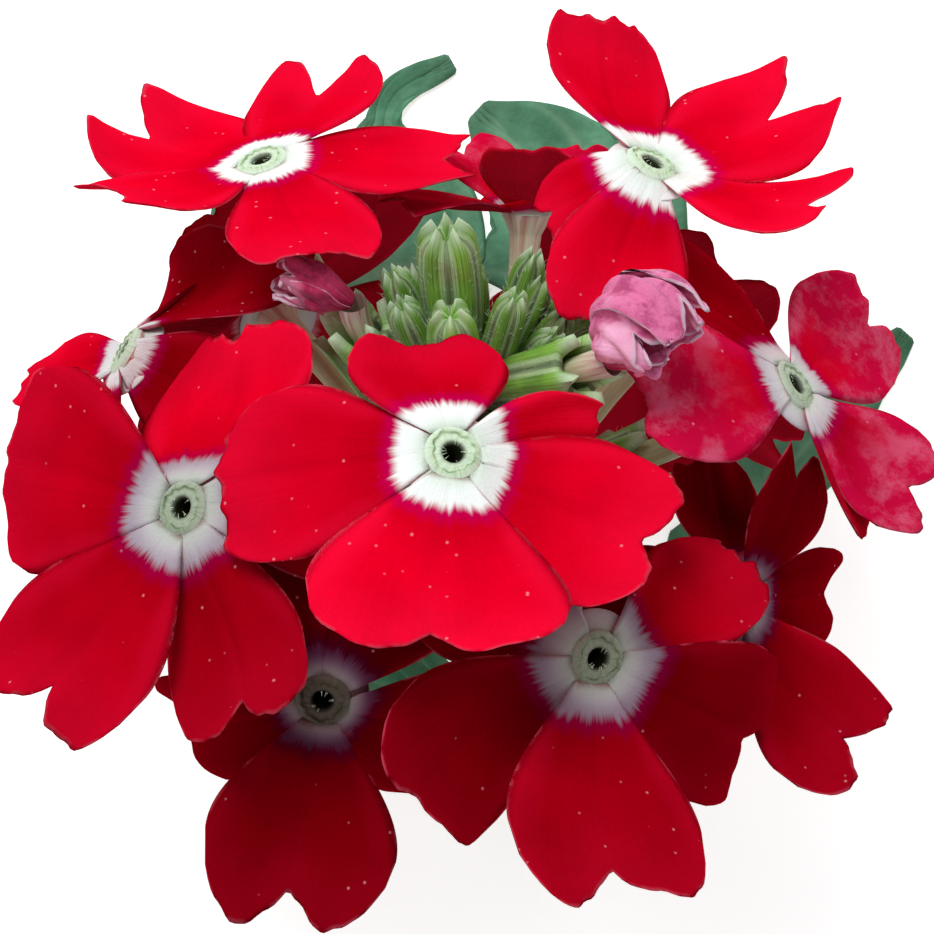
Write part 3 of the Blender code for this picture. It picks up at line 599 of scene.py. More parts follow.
FLORETS = {
    "front": Floret((-0.7, 0.7, 42.0), 67, 26, 3, 0.0, 1.0, 2.85, [
        Petal(99, 7.2, 8.5, -22, -5, 10, 0.0, 0.78),
        Petal(19, 7.3, 5, -18, 0, 80, 0.0, 1.0),
        Petal(339, 11, 10, -25, 70, -10, 0.12, 1.0),
        Petal(262, 11, 13, 0, 45, 10, 0.15, 1.0),
        Petal(178, 11.5, 9.5, -30, -5, -5, 0.03, 0.78),
    ]),
    "left": Floret((-14.7, -2.1, 36.0), 157, 33, -1, 0.0, 0.5, 2.95, [
        Petal(88, 10.5, 13, -35, 40, -25, 0.1, 1.0),
        Petal(164, 11.4, 11.2, 10, -35, -10, 0.05, 0.6),
        Petal(239, 12.5, 11.5, 10, 20, 10, 0.2, 0.52),
        Petal(295, 12, 8, -10, 45, -10, 0.15, 0.38),
        Petal(5, 10.5, 8.5, -30, -10, 0, 0.15, 0.4),
    ]),
    "upper_left": Floret((-11.4, 17.0, 23.5), 109, 58, 1, 0.0, 1.0, 2.5, [
        Petal(78, 9.5, 8.5, -10, 30, -5, 0.25, 0.95, 0.04),
        Petal(146, 10.6, 10.5, -10, 55, 20, 0.2, 1.0, 0.09),
        Petal(230, 9.2, 8, 15, 25, -5, 0.1, 1.0, 0.06),
        Petal(296, 12.2, 8.2, -4, 12, -25, 0.03, 0.9),
        Petal(9, 10, 10, -20, 10, -5, 0.1, 0.95, 0.08),
    ]),
    "upper_right": Floret((9.9, 16.3, 29.5), 61, 59, 4, 0.0, 1.0, 2.8, [
        Petal(95, 10.5, 7.5, -5, 55, -5, 0.05, 0.9),
        Petal(27, 10, 10, 15, 40, -20, 0.25, 1.0, 0.09),
        Petal(315, 9.5, 8, 15, 40, 5, 0.15, 1.0, 0.08),
        Petal(252, 9.5, 7.5, -38, 7, 15, 0.05, 0.88),
        Petal(190, 6, 6, -55, 0, 0, 0.15, 0.8),
    ]),
    "right": Floret((17.5, 4.4, 30.5), 33, 62, 0, 0.85, 0.66, 2.6, [
        Petal(36, 11, 8, 0, 30, -5, 0.15, 0.9),
        Petal(319, 8.5, 8, 5, 30, 25, 0.15, 0.5),
        Petal(110, 11, 9.5, -24, 5, -5, 0.15, 0.22),
        Petal(191, 9.9, 8.4, -17, -15, -10, 0.05, 0.85),
        Petal(313, 7.5, 9, -10, 0, -10, 0.15, 0.25),
    ]),
    "far_left": Floret((-18.7, 6.4, 26.0), 151, 76, -1, 0.0, 0.8, 2.2, [
        Petal(180, 8.4, 5.2, 22, 0, 0, 0.05, 0.85),
        Petal(78, 10, 10, -42, 68, 60, 0.15, 0.28),
        Petal(325, 6.4, 6.6, -89, 36, -24, 0.15, 0.3),
        Petal(250, 10, 8.4, -19, -4, -8, 0.1, 0.25),
        Petal(133, 9.2, 8.1, -26, -34, 10, 0.1, 0.28),
    ]),
    "lower_left": Floret((-7.5, -12.1, 35.0), -100, 23, -4, 0.0, 0.03, 2.5, [
        Petal(261, 11, 10.5, 10, 30, 20, 0.15, 0.19),
        Petal(206, 10.5, 7, -20, -45, 0, 0.15, 0.1),
        Petal(328, 10.5, 9.5, -35, 0, 10, 0.15, 0.08),
        Petal(125, 9.5, 8.5, -20, 0, 10, 0.15, 0.06),
        Petal(56, 10.5, 8.5, -30, -10, 0, 0.15, 0.06),
    ]),
    "lower_right": Floret((6.6, -9.7, 39.0), -25, 27, -3, 0.0, 0.36, 3.0, [
        Petal(259, 12.5, 10.5, 30, 45, 10, 0.15, 0.38, 0.06),
        Petal(209, 12.5, 8.5, -10, 75, 20, 0.05, 0.19),
        Petal(332, 12, 9, 5, -55, 0, 0.15, 0.13),
        Petal(21, 10, 6.5, -20, 10, -60, 0.05, 0.5),
        Petal(146, 10, 8.5, -40, -20, 5, 0.15, 0.12),
    ]),
    "far_right": Floret((15.1, -7.2, 29.0), -2, 58, -3, 0.0, 0.1, 2.3, [
        Petal(300, 10.5, 10, 10, 75, 5, 0.2, 0.3),
        Petal(359, 11.5, 5.5, 5, -30, 0, 0.15, 0.06),
        Petal(77, 7.5, 8.5, 30, -35, 0, 0.2, 0.08),
        Petal(96, 7, 8, -25, 15, -10, 0.03, 0.06),
        Petal(189, 10, 8.5, -25, -5, 0, 0.15, 0.05),
    ]),
    "top": Floret((3.4, 14.6, 20.0), 87, 78, -3, 0.5, 0.6, 1.6, [
        Petal(269, 6.5, 6, 45, -15, 0, 0.1, 0.9),
        Petal(331, 5.5, 6, 45, -15, 0, 0.15, 0.9),
        Petal(54, 6.5, 6, 35, -20, 0, 0.15, 0.7),
        Petal(126, 6.5, 6, 35, -20, 0, 0.15, 0.7),
        Petal(205, 7.5, 6.5, 10, -20, 0, 0.15, 0.3),
    ]),
    "back_right": Floret((11.5, 8.0, 10.0), 48, 131, -5, 0.0, 0.6, 2.8, [
        Petal(15 + 72 * k, 10, 8.5, -15, 0, 10, 0.15, 0.6) for k in range(5)
    ]),
    "back_left": Floret((-11.5, 9.0, 9.5), 140, 136, -5, 0.0, 0.6, 2.8, [
        Petal(45 + 72 * k, 10, 8.5, -10, 0, 10, 0.15, 0.6) for k in range(5)
    ]),
}
print("open florets:", len(FLORETS))

# %% [markdown]
# ## The shape of a petal
# The outline is a wedge with round shoulders and a notch, which gives the two lobes. The midrib
# leaves the eye at an angle and bends as the square of the way along it. The blade rolls about the
# midrib, and three small waves are added along its normal: a groove down the middle, a ruffle that
# grows towards the edge, and a slow swell.

# %% Petal formulas
PETAL_ROOT = 1.2
ROOT_HALF_WIDTH = 0.95
WAIST = 1.2
SIDE_LENGTH = 0.62
LOBE_PLACE = 0.5
HORN_PLACE, HORN_WIDTH = 0.66, 0.2
PETAL_THICKNESS = 0.26
PETAL_ROWS, PETAL_COLUMNS = 27, 41


def limb_frame(azimuth, tilt):
    """The way a floret faces, and +X and +Y turned with +Z as it tilts straight to face there."""
    a, t = math.radians(azimuth), math.radians(tilt)
    hinge = np.array([-math.sin(a), math.cos(a), 0.0])
    flat = np.eye(3)[:2]
    turned = flat * math.cos(t) + np.cross(hinge, flat) * math.sin(t)
    turned = turned + hinge * (flat @ hinge)[:, None] * (1 - math.cos(t))
    return direction(azimuth, tilt), turned[0], turned[1]


def outline_reach(across, petal, wobble):
    """1 at the lobes, 1 - notch (1 - |a| / 0.5)^2 between them, a quarter circle beyond.

    A horn adds a peak exp(-((|a| - 0.66) / 0.2)^2) near each corner, and three small sines
    fray the edge.
    """
    side = np.abs(across + 0.08 * math.sin(3 * wobble) * (1 - across**2))
    shoulder = np.clip((side - LOBE_PLACE) / (1 - LOBE_PLACE), 0, 1)
    outer = 1 - (1 - SIDE_LENGTH) * (1 - np.sqrt(1 - shoulder**2))
    inner = 1 - petal.notch * (1 - np.clip(side / LOBE_PLACE, 0, 1)) ** 2
    reach = np.where(side < LOBE_PLACE, inner, outer)
    reach = reach + petal.horn * np.exp(-(((side - HORN_PLACE) / HORN_WIDTH) ** 2))
    fray = 0.022 * np.sin(7 * across + wobble) + 0.010 * np.sin(15 * across + 2 * wobble)
    return reach * (1 + fray + 0.005 * np.sin(31 * across + 3 * wobble))


def petal_waves(across, way, wobble):
    """A shallow groove down the middle, a ruffle that grows as way^3, and a slow swell."""
    groove = -0.12 * np.exp(-((across / 0.12) ** 2)) * np.sin(math.pi * np.clip(way, 0, 1)) ** 0.7
    ruffle = 0.44 * way**3 * np.sin(5.0 * across + wobble) * np.abs(across) ** 0.7
    swell = 0.32 * np.sin(2.6 * across - wobble) * np.sin(3.4 * way + 0.4 * wobble)
    return groove + ruffle + swell * np.clip(2 * way, 0, 1)


def petal_sheet(floret, petal, across, along, wobble):
    """Midrib angle lift + curl s^2, half width a quarter sine of s^1.2, blade turned by roll s."""
    facing, plane_x, plane_y = limb_frame(floret.azimuth, floret.tilt)
    turn = math.radians(petal.turn)
    outward = math.cos(turn) * plane_x + math.sin(turn) * plane_y
    sideways = np.cross(facing, outward)
    way = along * outline_reach(across, petal, wobble)
    knots, weights = np.polynomial.legendre.leggauss(6)
    angles = np.radians(petal.lift + petal.curl * (way[..., None] * (knots + 1) / 2) ** 2)
    out = PETAL_ROOT + petal.long * way * (np.cos(angles) * weights / 2).sum(-1)
    rise = petal.long * way * (np.sin(angles) * weights / 2).sum(-1)
    slope = np.radians(petal.lift + petal.curl * way**2)[..., None]
    roll = np.radians(petal.roll * way)[..., None]
    growth = np.sin(math.pi / 2 * along**WAIST) ** 0.9
    half = ROOT_HALF_WIDTH + (petal.wide / 2 - ROOT_HALF_WIDTH) * growth
    normal = -np.sin(slope) * outward + np.cos(slope) * facing
    lateral = np.cos(roll) * sideways + np.sin(roll) * normal
    sheet = np.array(floret.eye) + out[..., None] * outward + rise[..., None] * facing
    sheet = sheet + (across * half)[..., None] * lateral
    across_blade = -np.sin(roll) * sideways + np.cos(roll) * normal
    reach = np.hypot(PETAL_ROOT + petal.long * way, across * half)
    plan = np.stack([0.5 + across / 2, reach * WHITE_RADIUS / floret.white / PLAN_SPAN], -1)
    return sheet + petal_waves(across, way, wobble)[..., None] * across_blade, plan


def petal_patch(floret, petal):
    across, along = rows_and_columns(PETAL_ROWS, PETAL_COLUMNS)
    along = along**0.9
    wobble = draw.uniform(0, 2 * math.pi)
    sheet, plan = petal_sheet(floret, petal, across, along, wobble)
    edge = np.maximum(along, np.abs(across) ** 2 * np.clip(3 * along, 0, 1))
    seed = draw.uniform(0, 1)
    marks = marks_of(across.shape, seed, edge, petal.tone, floret.mottle, floret.light)
    return blade_patch(sheet, PETAL_THICKNESS * (1.3 - 0.6 * along), plan, marks)


sample = petal_patch(FLORETS["front"], FLORETS["front"].petals[0])
print("a petal has", len(sample.points), "points")

# %% [markdown]
# ## Collar, tube and whole corolla
# The collar is a profile turned round the way that the floret faces: a white skirt under the
# petals' feet, a raised crimped lip, then down into the tube, whose dark is painted shade, where a
# few pale hairs cross the hole. The tube is a ring carried from inside the calyx up to the eye.

# %% The parts of one floret
TUBE_RADIUS = 0.8
TUBE_BEND = 9.0
TUBE_SINK = 0.3
CALYX_LENGTH = 10.5
LONG_TUBE = 13.0
COLLAR_PROFILE = np.array([
    (1.5, -0.20), (1.42, 0.03), (1.3, 0.13), (1.2, 0.19), (1.12, 0.20), (1.04, 0.12), (0.95, 0.09),
    (0.8, 0.14), (0.62, 0.13), (0.48, -0.1), (0.42, -0.8), (0.40, -1.8), (0.02, -1.9),
])
COLLAR, TUBE = 2, 3  # places in a floret's list of finishes
RINGS, COLLAR_SIDES, TUBE_SIDES = 37, 60, 20
THROAT_HAIRS = 9
LIMB_RUN = np.array([0.15, 0.6, 1.1, 1.4, 1.5, 1.4, 1.1, 0.6, 0.15])[:, None]
LIMB_DEPTH = np.array([0.08, 0.10, 0.12, 0.14, 0.2, 0.26, 0.26, 0.26, 0.26])[:, None]


def floret_path(floret):
    """From the rachis to the eye, arriving along the way that the floret faces."""
    eye = np.array(floret.eye)
    bend = eye - direction(floret.azimuth, floret.tilt) * TUBE_BEND
    return bent_path(rachis_point(floret.foot), bend, eye)


def calyx_reach(path):
    """Where along the path the calyx's mouth is; a short bud's calyx covers more of it."""
    total = lengths_of(path)[-1]
    return min(CALYX_LENGTH, (0.55 if total > LONG_TUBE else 0.8) * total)


def socket_depth(path):
    return 3.0 if lengths_of(path)[-1] > LONG_TUBE else 1.6


def round_eye(floret, angles, radius, height):
    """eye + radius (cos, sin) in the limb's plane + height along the facing"""
    facing, plane_x, plane_y = limb_frame(floret.azimuth, floret.tilt)
    across = np.cos(angles)[..., None] * plane_x + np.sin(angles)[..., None] * plane_y
    return np.array(floret.eye) + radius[..., None] * across + height[..., None] * facing


def collar_patch(floret):
    """The profile turned round the eye; crimps widen and lift its lip as sines of the angle."""
    angles = ring_angles(COLLAR_SIDES)
    places = np.linspace(0, len(COLLAR_PROFILE) - 1, RINGS)
    stops = np.arange(len(COLLAR_PROFILE))
    radius, height = (np.interp(places, stops, row)[:, None] for row in COLLAR_PROFILE.T)
    crimp = np.exp(-(((places - 4.5) / 2.5) ** 2))[:, None]
    twist = draw.uniform(0, 2 * math.pi)
    radius = radius * (1 + crimp * (0.05 * np.sin(10 * angles) + 0.07 * np.sin(3 * angles + twist)))
    height = height + crimp * (0.05 * np.sin(15 * angles + 1.0) + 0.05 * np.sin(2 * angles + twist))
    return tube_patch(round_eye(floret, angles, radius, height), COLLAR, light=floret.light)


def membrane_patch(floret):
    """The limb between the petals' feet, sloping out from 1.2 by the lift, read round the eye."""
    angles = ring_angles(COLLAR_SIDES)
    turns = np.array([petal.turn for petal in floret.petals])
    lifts = np.array([petal.lift for petal in floret.petals])
    lift = np.radians(np.interp(np.degrees(angles), turns, lifts, period=360))
    height = LIMB_RUN * np.sin(lift) - LIMB_DEPTH * np.cos(lift)
    radius = PETAL_ROOT + LIMB_RUN * np.cos(lift) + LIMB_DEPTH * np.sin(lift)
    plan = np.stack([0.5 + 0 * radius, radius * WHITE_RADIUS / floret.white / PLAN_SPAN], -1)
    return tube_patch(round_eye(floret, angles, radius, height), 0, plan, light=floret.light)


def throat_hairs(floret):
    """Short hairs that lean in over the hole from its rim."""
    facing, plane_x, plane_y = limb_frame(floret.azimuth, floret.tilt)
    angles = draw.uniform(0, 2 * math.pi, THROAT_HAIRS)[:, None]
    out = np.cos(angles) * plane_x + np.sin(angles) * plane_y
    roots = np.array(floret.eye) + 0.6 * out + 0.22 * facing
    heading = unit(-out + draw.normal(0.1, 0.4, (THROAT_HAIRS, 1)) * facing)
    return hair_patch(roots, heading, length=0.36, radius=0.03, finish=COLLAR)


def tube_surface(path):
    """The tube's ring, from its foot in the calyx to a funnel under the eye."""
    foot = calyx_reach(path) - socket_depth(path) + TUBE_SINK
    eye = lengths_of(path)[-1]
    stops = [foot, foot + 0.3, 0.5 * (foot + eye), eye - 3.0, eye - 1.4, eye - 0.6, eye - 0.15]
    sizes = [0.1, TUBE_RADIUS, 0.9 * TUBE_RADIUS, TUBE_RADIUS, 1.15 * TUBE_RADIUS, 1.3, 1.5]
    places = np.linspace(0, len(stops) - 1, RINGS)
    at, radius = (np.interp(places, np.arange(len(stops)), row) for row in (stops, sizes))
    return ring_surface(path, at, radius[:, None], ring_angles(TUBE_SIDES))


def corolla_patches(floret):
    patches = [petal_patch(floret, petal) for petal in floret.petals]
    patches += [membrane_patch(floret), collar_patch(floret), throat_hairs(floret)]
    return patches + [tube_patch(tube_surface(floret_path(floret)), TUBE)]


print("the collar's widest ring:", COLLAR_PROFILE[:, 0].max(), "mm")

# %% Every open floret
finishes = [petal_red, petal_under, collar_green, tube_pale]
for name, floret in FLORETS.items():
    nodes = ["corolla_" + name]
    build_piece("floret_" + name, corolla_patches(floret), finishes, nodes)


# %% [markdown]
# ## Folded pink petals
# A verbena bud opens pink. Its five petals are rolled round each other, each with one edge under
# its neighbour and one edge over, and their notched tips turn outwards first. Each petal is a
# sheet wrapped on an oval: the angle round the bud follows the first parameter, and the radius
# grows a little from the tucked edge to the free one.

# %% A finish for the buds


def make_bud_pink():
    n = Finish("bud pink", 0.75, 0.08, 0.25, (1.0, 0.55, 0.7, 1.0))
    _, edge, tone, _ = n.marks()
    forward = n.plan()[1]
    blotch = n.noise(n.place(), 800.0, 5.0, 0.7)
    clouds = n.noise(n.place(), 300.0, 3.0)
    pink = n.blend(tone, (206, 30, 92), (226, 120, 166))
    deep = n.blend(tone, (140, 8, 50), (170, 48, 104))
    pink = n.blend(n.times(n.step(blotch, 0.42, 0.62), 0.7), pink, deep)
    pale = n.times(n.step(clouds, 0.5, 0.66), n.plus(n.times(tone, 0.5), 0.25))
    pink = n.blend(pale, pink, (240, 186, 214))
    pink = n.blend(n.rest(n.step(forward, 0.12, 0.24)), pink, (188, 20, 76))
    rim = n.times(n.step(edge, 0.93, 1.0), 0.8)
    pink = n.blend(n.times(rim, n.step(blotch, 0.36, 0.5)), pink, (226, 214, 228))
    return n.complete(*n.group(velvet, pink, 0.03), 0.08)


bud_pink = make_bud_pink()
print("bud finish:", bud_pink.name)

# %% The two folded buds
PinkBud = namedtuple("PinkBud", "centre azimuth tilt mouth half_length radius foot bend tone start")
FOLDED_ROWS, FOLDED_COLUMNS, FOLDED_THICKNESS = 31, 33, 0.2
BUD_TUBE_RINGS = 13
PINK_BUDS = {
    "right": PinkBud(
        (8.1, 7.6, 39.4), 74, 48, (-35, 62), 3.0, 2.4, 8, (3.9, 4.6, 34.2), 1.0, 20.0
    ),
    "left": PinkBud(
        (-7.9, 9.5, 31.8), 158, 66, (165, 72), 2.1, 1.2, 5, (-5.8, 5.9, 28.2), 0.2, 60.0
    ),
}


def bud_base(bud):
    """Where a bud's tube ends and its folded petals begin."""
    return np.array(bud.centre) - direction(bud.azimuth, bud.tilt) * bud.half_length


def pink_bud_path(bud):
    return bent_path(rachis_point(bud.foot), np.array(bud.bend), bud_base(bud))


def bud_arch(bud):
    """From the top of the tube over the bud's middle, bending down towards its mouth."""
    centre, pointing = np.array(bud.centre), direction(bud.azimuth, bud.tilt)
    mouth = centre + 1.1 * bud.half_length * direction(*bud.mouth)
    return bent_path(bud_base(bud), centre + 0.5 * bud.half_length * pointing, mouth)


def folded_petal(bud, number):
    """Angle start + 72 k + spread(s) a + 0.7 s round the arch, radius R swell(s) (0.9 + 0.17 a)."""
    across, along = rows_and_columns(FOLDED_ROWS, FOLDED_COLUMNS)
    wobble = draw.uniform(0, 2 * math.pi)
    lobes = Petal(0, 1, 1, 0, 0, 0, 0.22, bud.tone, 0.08)
    way = along * outline_reach(across, lobes, wobble)
    tip = np.clip(way - 0.7, 0, 1)
    swell = 0.30 + 0.72 * np.sin(math.pi / 2 * np.clip(way / 0.55, 0, 1)) ** 1.3 - 0.35 * tip
    spread = math.radians(38) + math.radians(26) * np.sin(math.pi * np.clip(way, 0, 0.7))
    angle = math.radians(bud.start + 72 * number) + across * spread + 0.7 * way
    turn_out = draw.uniform(-0.6, 1.6) * tip**1.5 * 3.0
    crumple = 0.10 * np.sin(6 * across + 5 * way + wobble)
    crumple = crumple + 0.06 * np.sin(13 * across - 8 * way + 2 * wobble)
    radius = swell * (0.9 + 0.17 * across) + crumple * np.clip(2 * way, 0, 1) + turn_out * 0.3
    path = bud_arch(bud)
    end = lengths_of(path)[-1]
    places = np.minimum(end * way * (1 + 0.1 * math.sin(2 * wobble)), end - 0.05)
    centre, _, first, second = along_path(path, places)
    around = np.cos(angle)[..., None] * first + np.sin(angle)[..., None] * second
    sheet = centre + (bud.radius * radius)[..., None] * around
    edge = np.maximum(along, np.abs(across) ** 3)
    plan = np.stack([0.5 + across / 2, 0.1 + way / 3], -1)
    marks = marks_of(across.shape, seed=draw.uniform(0, 1), edge=edge, tone=bud.tone)
    return blade_patch(sheet, FOLDED_THICKNESS, plan, marks, upper=0, lower=0)


def bud_tube(bud):
    """A plain round tube from inside the calyx up into the folded petals."""
    path = pink_bud_path(bud)
    foot = calyx_reach(path) - socket_depth(path) + TUBE_SINK
    places = np.linspace(foot, lengths_of(path)[-1] - 0.05, BUD_TUBE_RINGS)
    rounding = np.sin(np.linspace(0.15, math.pi / 2, BUD_TUBE_RINGS)) ** 0.3
    radius = TUBE_RADIUS * rounding[:, None]
    return tube_patch(ring_surface(path, places, radius, ring_angles(TUBE_SIDES)), finish=1)


for name, bud in PINK_BUDS.items():
    patches = [folded_petal(bud, number) for number in range(5)] + [bud_tube(bud)]
    nodes = ["bud_corolla_" + name]
    build_piece("folded_petals_" + name, patches, [bud_pink, tube_pale], nodes)


# %% [markdown]
# ## Greens
# Calyces are bright green on their ribs, with pale tips, and their grooves and the lower part of
# each cup are painted near black as shade. The leaves are a greyer, deeper green with sunken veins.
# The stem is olive. The seed mark holds how high on a rib a point is, or how deep in a vein, so the
# colour follows the relief exactly.

# %% Finishes for calyx, hair, leaf and stem


def make_calyx_green():
    n = Finish("calyx green", 0.55, 0.25, 0.1, (0.8, 1.0, 0.7, 1.0))
    rib, edge, tone, _ = n.marks()
    place = n.plan()[1]
    blotch = n.noise(n.place(), 700.0, 4.0, 0.6)
    clouds = n.noise(n.place(), 250.0)
    ridge = n.blend(tone, (70, 96, 28), (134, 190, 66))
    ridge = n.blend(n.times(n.step(clouds, 0.45, 0.65), 0.6), ridge, (70, 116, 40))
    film = n.blend(tone, (84, 104, 60), (180, 210, 156))
    green = n.blend(n.step(rib, 0.30, 0.62), film, ridge)
    # Painted shade: near black in the grooves between the ribs.
    groove = n.plus(n.times(n.step(rib, 0.0, 0.22), 0.7), 0.3)
    green = n.blend(groove, (24, 38, 8), green)
    green = n.blend(n.times(n.step(blotch, 0.5, 0.7), 0.3), green, (120, 84, 50))
    streak = n.noise(n.vector(n.times(rib, 6.0), place, tone), 3.0, 3.0, 0.6)
    green = n.blend(n.times(n.step(streak, 0.48, 0.68), 0.55), green, (44, 78, 20))
    green = n.blend(n.times(n.step(streak, 0.46, 0.3), 0.4), green, (186, 214, 150))
    # Painted shade: near black over the lower part of the cup, deep among the florets.
    green = n.blend(n.times(n.rest(n.step(place, 0.2, 0.62)), 0.85), green, (14, 24, 6))
    green = n.blend(n.times(n.step(edge, 0.35, 1.0), 0.75), green, (204, 222, 196))
    return n.complete(green, blotch, 0.08)


def make_hair_pale():
    n = Finish("pale hair", 0.4, 0.4)
    return n.complete(n.blend(n.plan()[1], (110, 140, 80), (206, 220, 190)))


def make_leaf_green():
    n = Finish("leaf green", 0.6, 0.3, 0.1, colour(200, 230, 200))
    vein, edge, _, _ = n.marks()
    clouds = n.noise(n.place(), 180.0, 4.0, 0.6)
    grain = n.noise(n.place(), 2400.0)
    green = n.blend(n.step(clouds, 0.35, 0.7), (62, 124, 92), (112, 182, 146))
    green = n.blend(n.times(vein, 0.4), green, (150, 196, 160))
    green = n.blend(n.times(n.step(edge, 0.93, 1.0), 0.5), green, (34, 62, 34))
    return n.complete(green, n.plus(clouds, n.times(grain, 0.5)), 0.12)


def make_stem_olive():
    n = Finish("stem olive", 0.55, 0.3)
    ridge, edge, _, _ = n.marks()
    streaks = n.noise(n.place(), 500.0, 4.0)
    olive = n.blend(n.step(ridge, 0.2, 0.9), (74, 82, 26), (128, 142, 62))
    olive = n.blend(n.times(n.step(streaks, 0.5, 0.7), 0.4), olive, (120, 74, 48))
    olive = n.blend(n.step(edge, 0.5, 0.6), olive, (190, 206, 140))
    return n.complete(olive, streaks, 0.08)


calyx_green, hair_pale = make_calyx_green(), make_hair_pale()
leaf_green, stem_olive = make_leaf_green(), make_stem_olive()
print("greens:", calyx_green.name, hair_pale.name, leaf_green.name, stem_olive.name)

# %% [markdown]
# ## Calyces
# A calyx is a long cup with five ribs that run out into five pointed teeth. Its radius is raised
# at each rib by the cosine of five times the angle, and its rim is pushed up at the ribs by a
# power of the same cosine, which makes slender teeth. The wall then turns in and down, so that
# the tube stands in a real socket.

# %% One calyx, with its hairs
CALYX_RADIUS = 1.65
CALYX_SIDES, CALYX_RINGS, LINING_RINGS = 60, 22, 8
TOOTH_LENGTH = 1.5
CALYX_PROFILE = [
    (0.0, 0.42), (0.12, 0.5), (0.25, 0.62), (0.4, 0.8), (0.55, 0.92), (0.7, 0.97), (0.85, 1.0),
    (1.0, 1.04),
]


def rib_height(angles):
    """(1 + cos 5 angle) / 2: 1 on a rib and 0 in a groove."""
    return (1 + np.cos(5 * angles)) / 2


def calyx_patches(path, tone=0.6):
    """Radius share(s) R (0.9 + 0.17 rib^1.5), rim pushed up by 1.5 rib^3, then a lining inside."""
    mouth = calyx_reach(path)
    angles = ring_angles(CALYX_SIDES)
    rib = rib_height(angles)
    stops = np.linspace(0, 1, CALYX_RINGS)
    share = np.interp(stops, *zip(*CALYX_PROFILE))[:, None]
    radii = share * CALYX_RADIUS * (0.9 + 0.17 * rib**1.5)
    tooth = TOOTH_LENGTH * rib**3
    climb = np.clip((stops - 0.8) / 0.2, 0, 1)[:, None] ** 2
    wall = ring_surface(path, stops * mouth, radii * (1 + 0.14 * climb * rib), angles, tooth * climb)
    inner = np.linspace(1, 0, LINING_RINGS)[:, None]
    socket = (TUBE_RADIUS + 0.25) * (1 + 0.35 * (inner**3) * rib)
    depths = mouth - socket_depth(path) * (1 - inner[:, 0])
    lining = ring_surface(path, depths, socket, angles, 0.93 * tooth * inner**2)
    edge = np.concatenate([climb * rib, inner * rib])
    cup = tube_patch(np.concatenate([wall, lining]), 0, seed=rib, edge=edge, tone=tone)
    return [cup, hairs_on(wall, count=120, length=0.4, radius=0.018)]


print("calyx length:", CALYX_LENGTH, "mm")

# %% [markdown]
# ## Green buds
# The youngest buds are calyces that haven't opened: plump, ribbed, and closed by their five teeth,
# whose pale tips stand up a little. They crowd the tip of the rachis.

# %% The closed buds
GreenBud = namedtuple("GreenBud", "azimuth off_axis reach radius tone")
GREEN_BUDS = [
    GreenBud(-167, 3.4, 19.9, 1.65, 0.7), GreenBud(-106, 11.2, 16.9, 1.35, 1.0),
    GreenBud(170, 14.3, 16.7, 0.95, 0.5), GreenBud(-154, 14, 16.5, 1.0, 0.75),
    GreenBud(-166, 22, 11.5, 0.9, 0.4), GreenBud(18, 12.6, 17.5, 0.9, 0.35),
    GreenBud(6, 14.6, 16.6, 0.85, 0.55), GreenBud(-4, 20.5, 15.2, 0.9, 0.3),
    GreenBud(-27, 20.2, 15.3, 0.95, 0.7), GreenBud(-45, 12, 17.6, 0.95, 0.8),
    GreenBud(90, 11, 15, 1.3, 0.3), GreenBud(118, 25, 14, 1.3, 0.3),
    GreenBud(8, 33, 14, 1.1, 0.4), GreenBud(-150, 16, 12.5, 1.3, 0.3),
]
BUD_RINGS = 34
BUD_PROFILE = [
    (0.0, 0.45), (0.3, 0.6), (0.45, 0.75), (0.6, 0.93), (0.72, 1.0), (0.85, 0.99), (0.92, 0.9),
    (0.955, 0.66), (0.97, 0.42),
]


def green_bud_tip(azimuth, off_axis, reach):
    """A place at a distance from the rachis's centre, at an angle off its axis."""
    across = np.array([1.0, 0.0, 0.0])
    back = np.cross(RACHIS_AXIS, across)
    a, o = math.radians(azimuth), math.radians(off_axis)
    side = math.cos(a) * across + math.sin(a) * back
    return RACHIS_CENTRE + reach * (math.cos(o) * RACHIS_AXIS + math.sin(o) * side)


def green_bud_patches(bud):
    """A calyx whose profile closes at 0.97 of its length, with the ribs' tips pushed up."""
    path = np.linspace(rachis_point(4.0), green_bud_tip(bud.azimuth, bud.off_axis, bud.reach), 5)
    total = lengths_of(path)[-1]
    angles = ring_angles(CALYX_SIDES)
    rib = rib_height(angles)
    stops = np.linspace(0, BUD_PROFILE[-1][0], BUD_RINGS)
    share = np.interp(stops, *zip(*BUD_PROFILE))[:, None]
    radii = share * bud.radius * (0.9 + 0.17 * rib**1.3)
    climb = np.clip((stops - 0.82) / 0.15, 0, 1)[:, None] ** 2
    shifts = climb * (0.8 * rib**2 - 0.2) * bud.radius / 1.4
    surface = ring_surface(path, stops * total, radii, angles, shifts)
    surface = np.concatenate([surface, pole(path, 0.93 * total, angles)])
    edge = np.concatenate([climb * (0.4 + 0.6 * rib), 0 * rib])
    body = tube_patch(surface, 0, seed=rib, edge=edge, tone=bud.tone)
    crown = hairs_on(surface[26:33], count=60, length=0.5, radius=0.022, lean=1.6)
    fuzz = hairs_on(surface[8:30], count=90, length=0.4, radius=0.018, lean=0.8)
    return [body, fuzz, crown]


print("green buds:", len(GREEN_BUDS))

# %% [markdown]
# ## Stem
# The stem of a verbena has four blunt corners and swells at each node, where a pair of leaves
# grows. It bends down from the head and its cut end lies by the leaves.

# %% Rachis, stem and its cut end
STEM_BENDS = [
    (1.6, -13.2, 10.6), (3.2, -16.4, 6.4), (4.6, -18.8, 3.7),
    (5.8, -20.6, 2.3), (7.0, -22.6, 1.65), (8.2, -24.8, 1.5),
]
STEM_RADII = [1.1, 1.5, 1.2, 1.2, 1.6, 1.2, 1.6, 1.2, 1.2]
STEM_STEPS, STEM_RINGS, STEM_SIDES = 12, 120, 32
STEM = 2  # the stem's place in the list of finishes


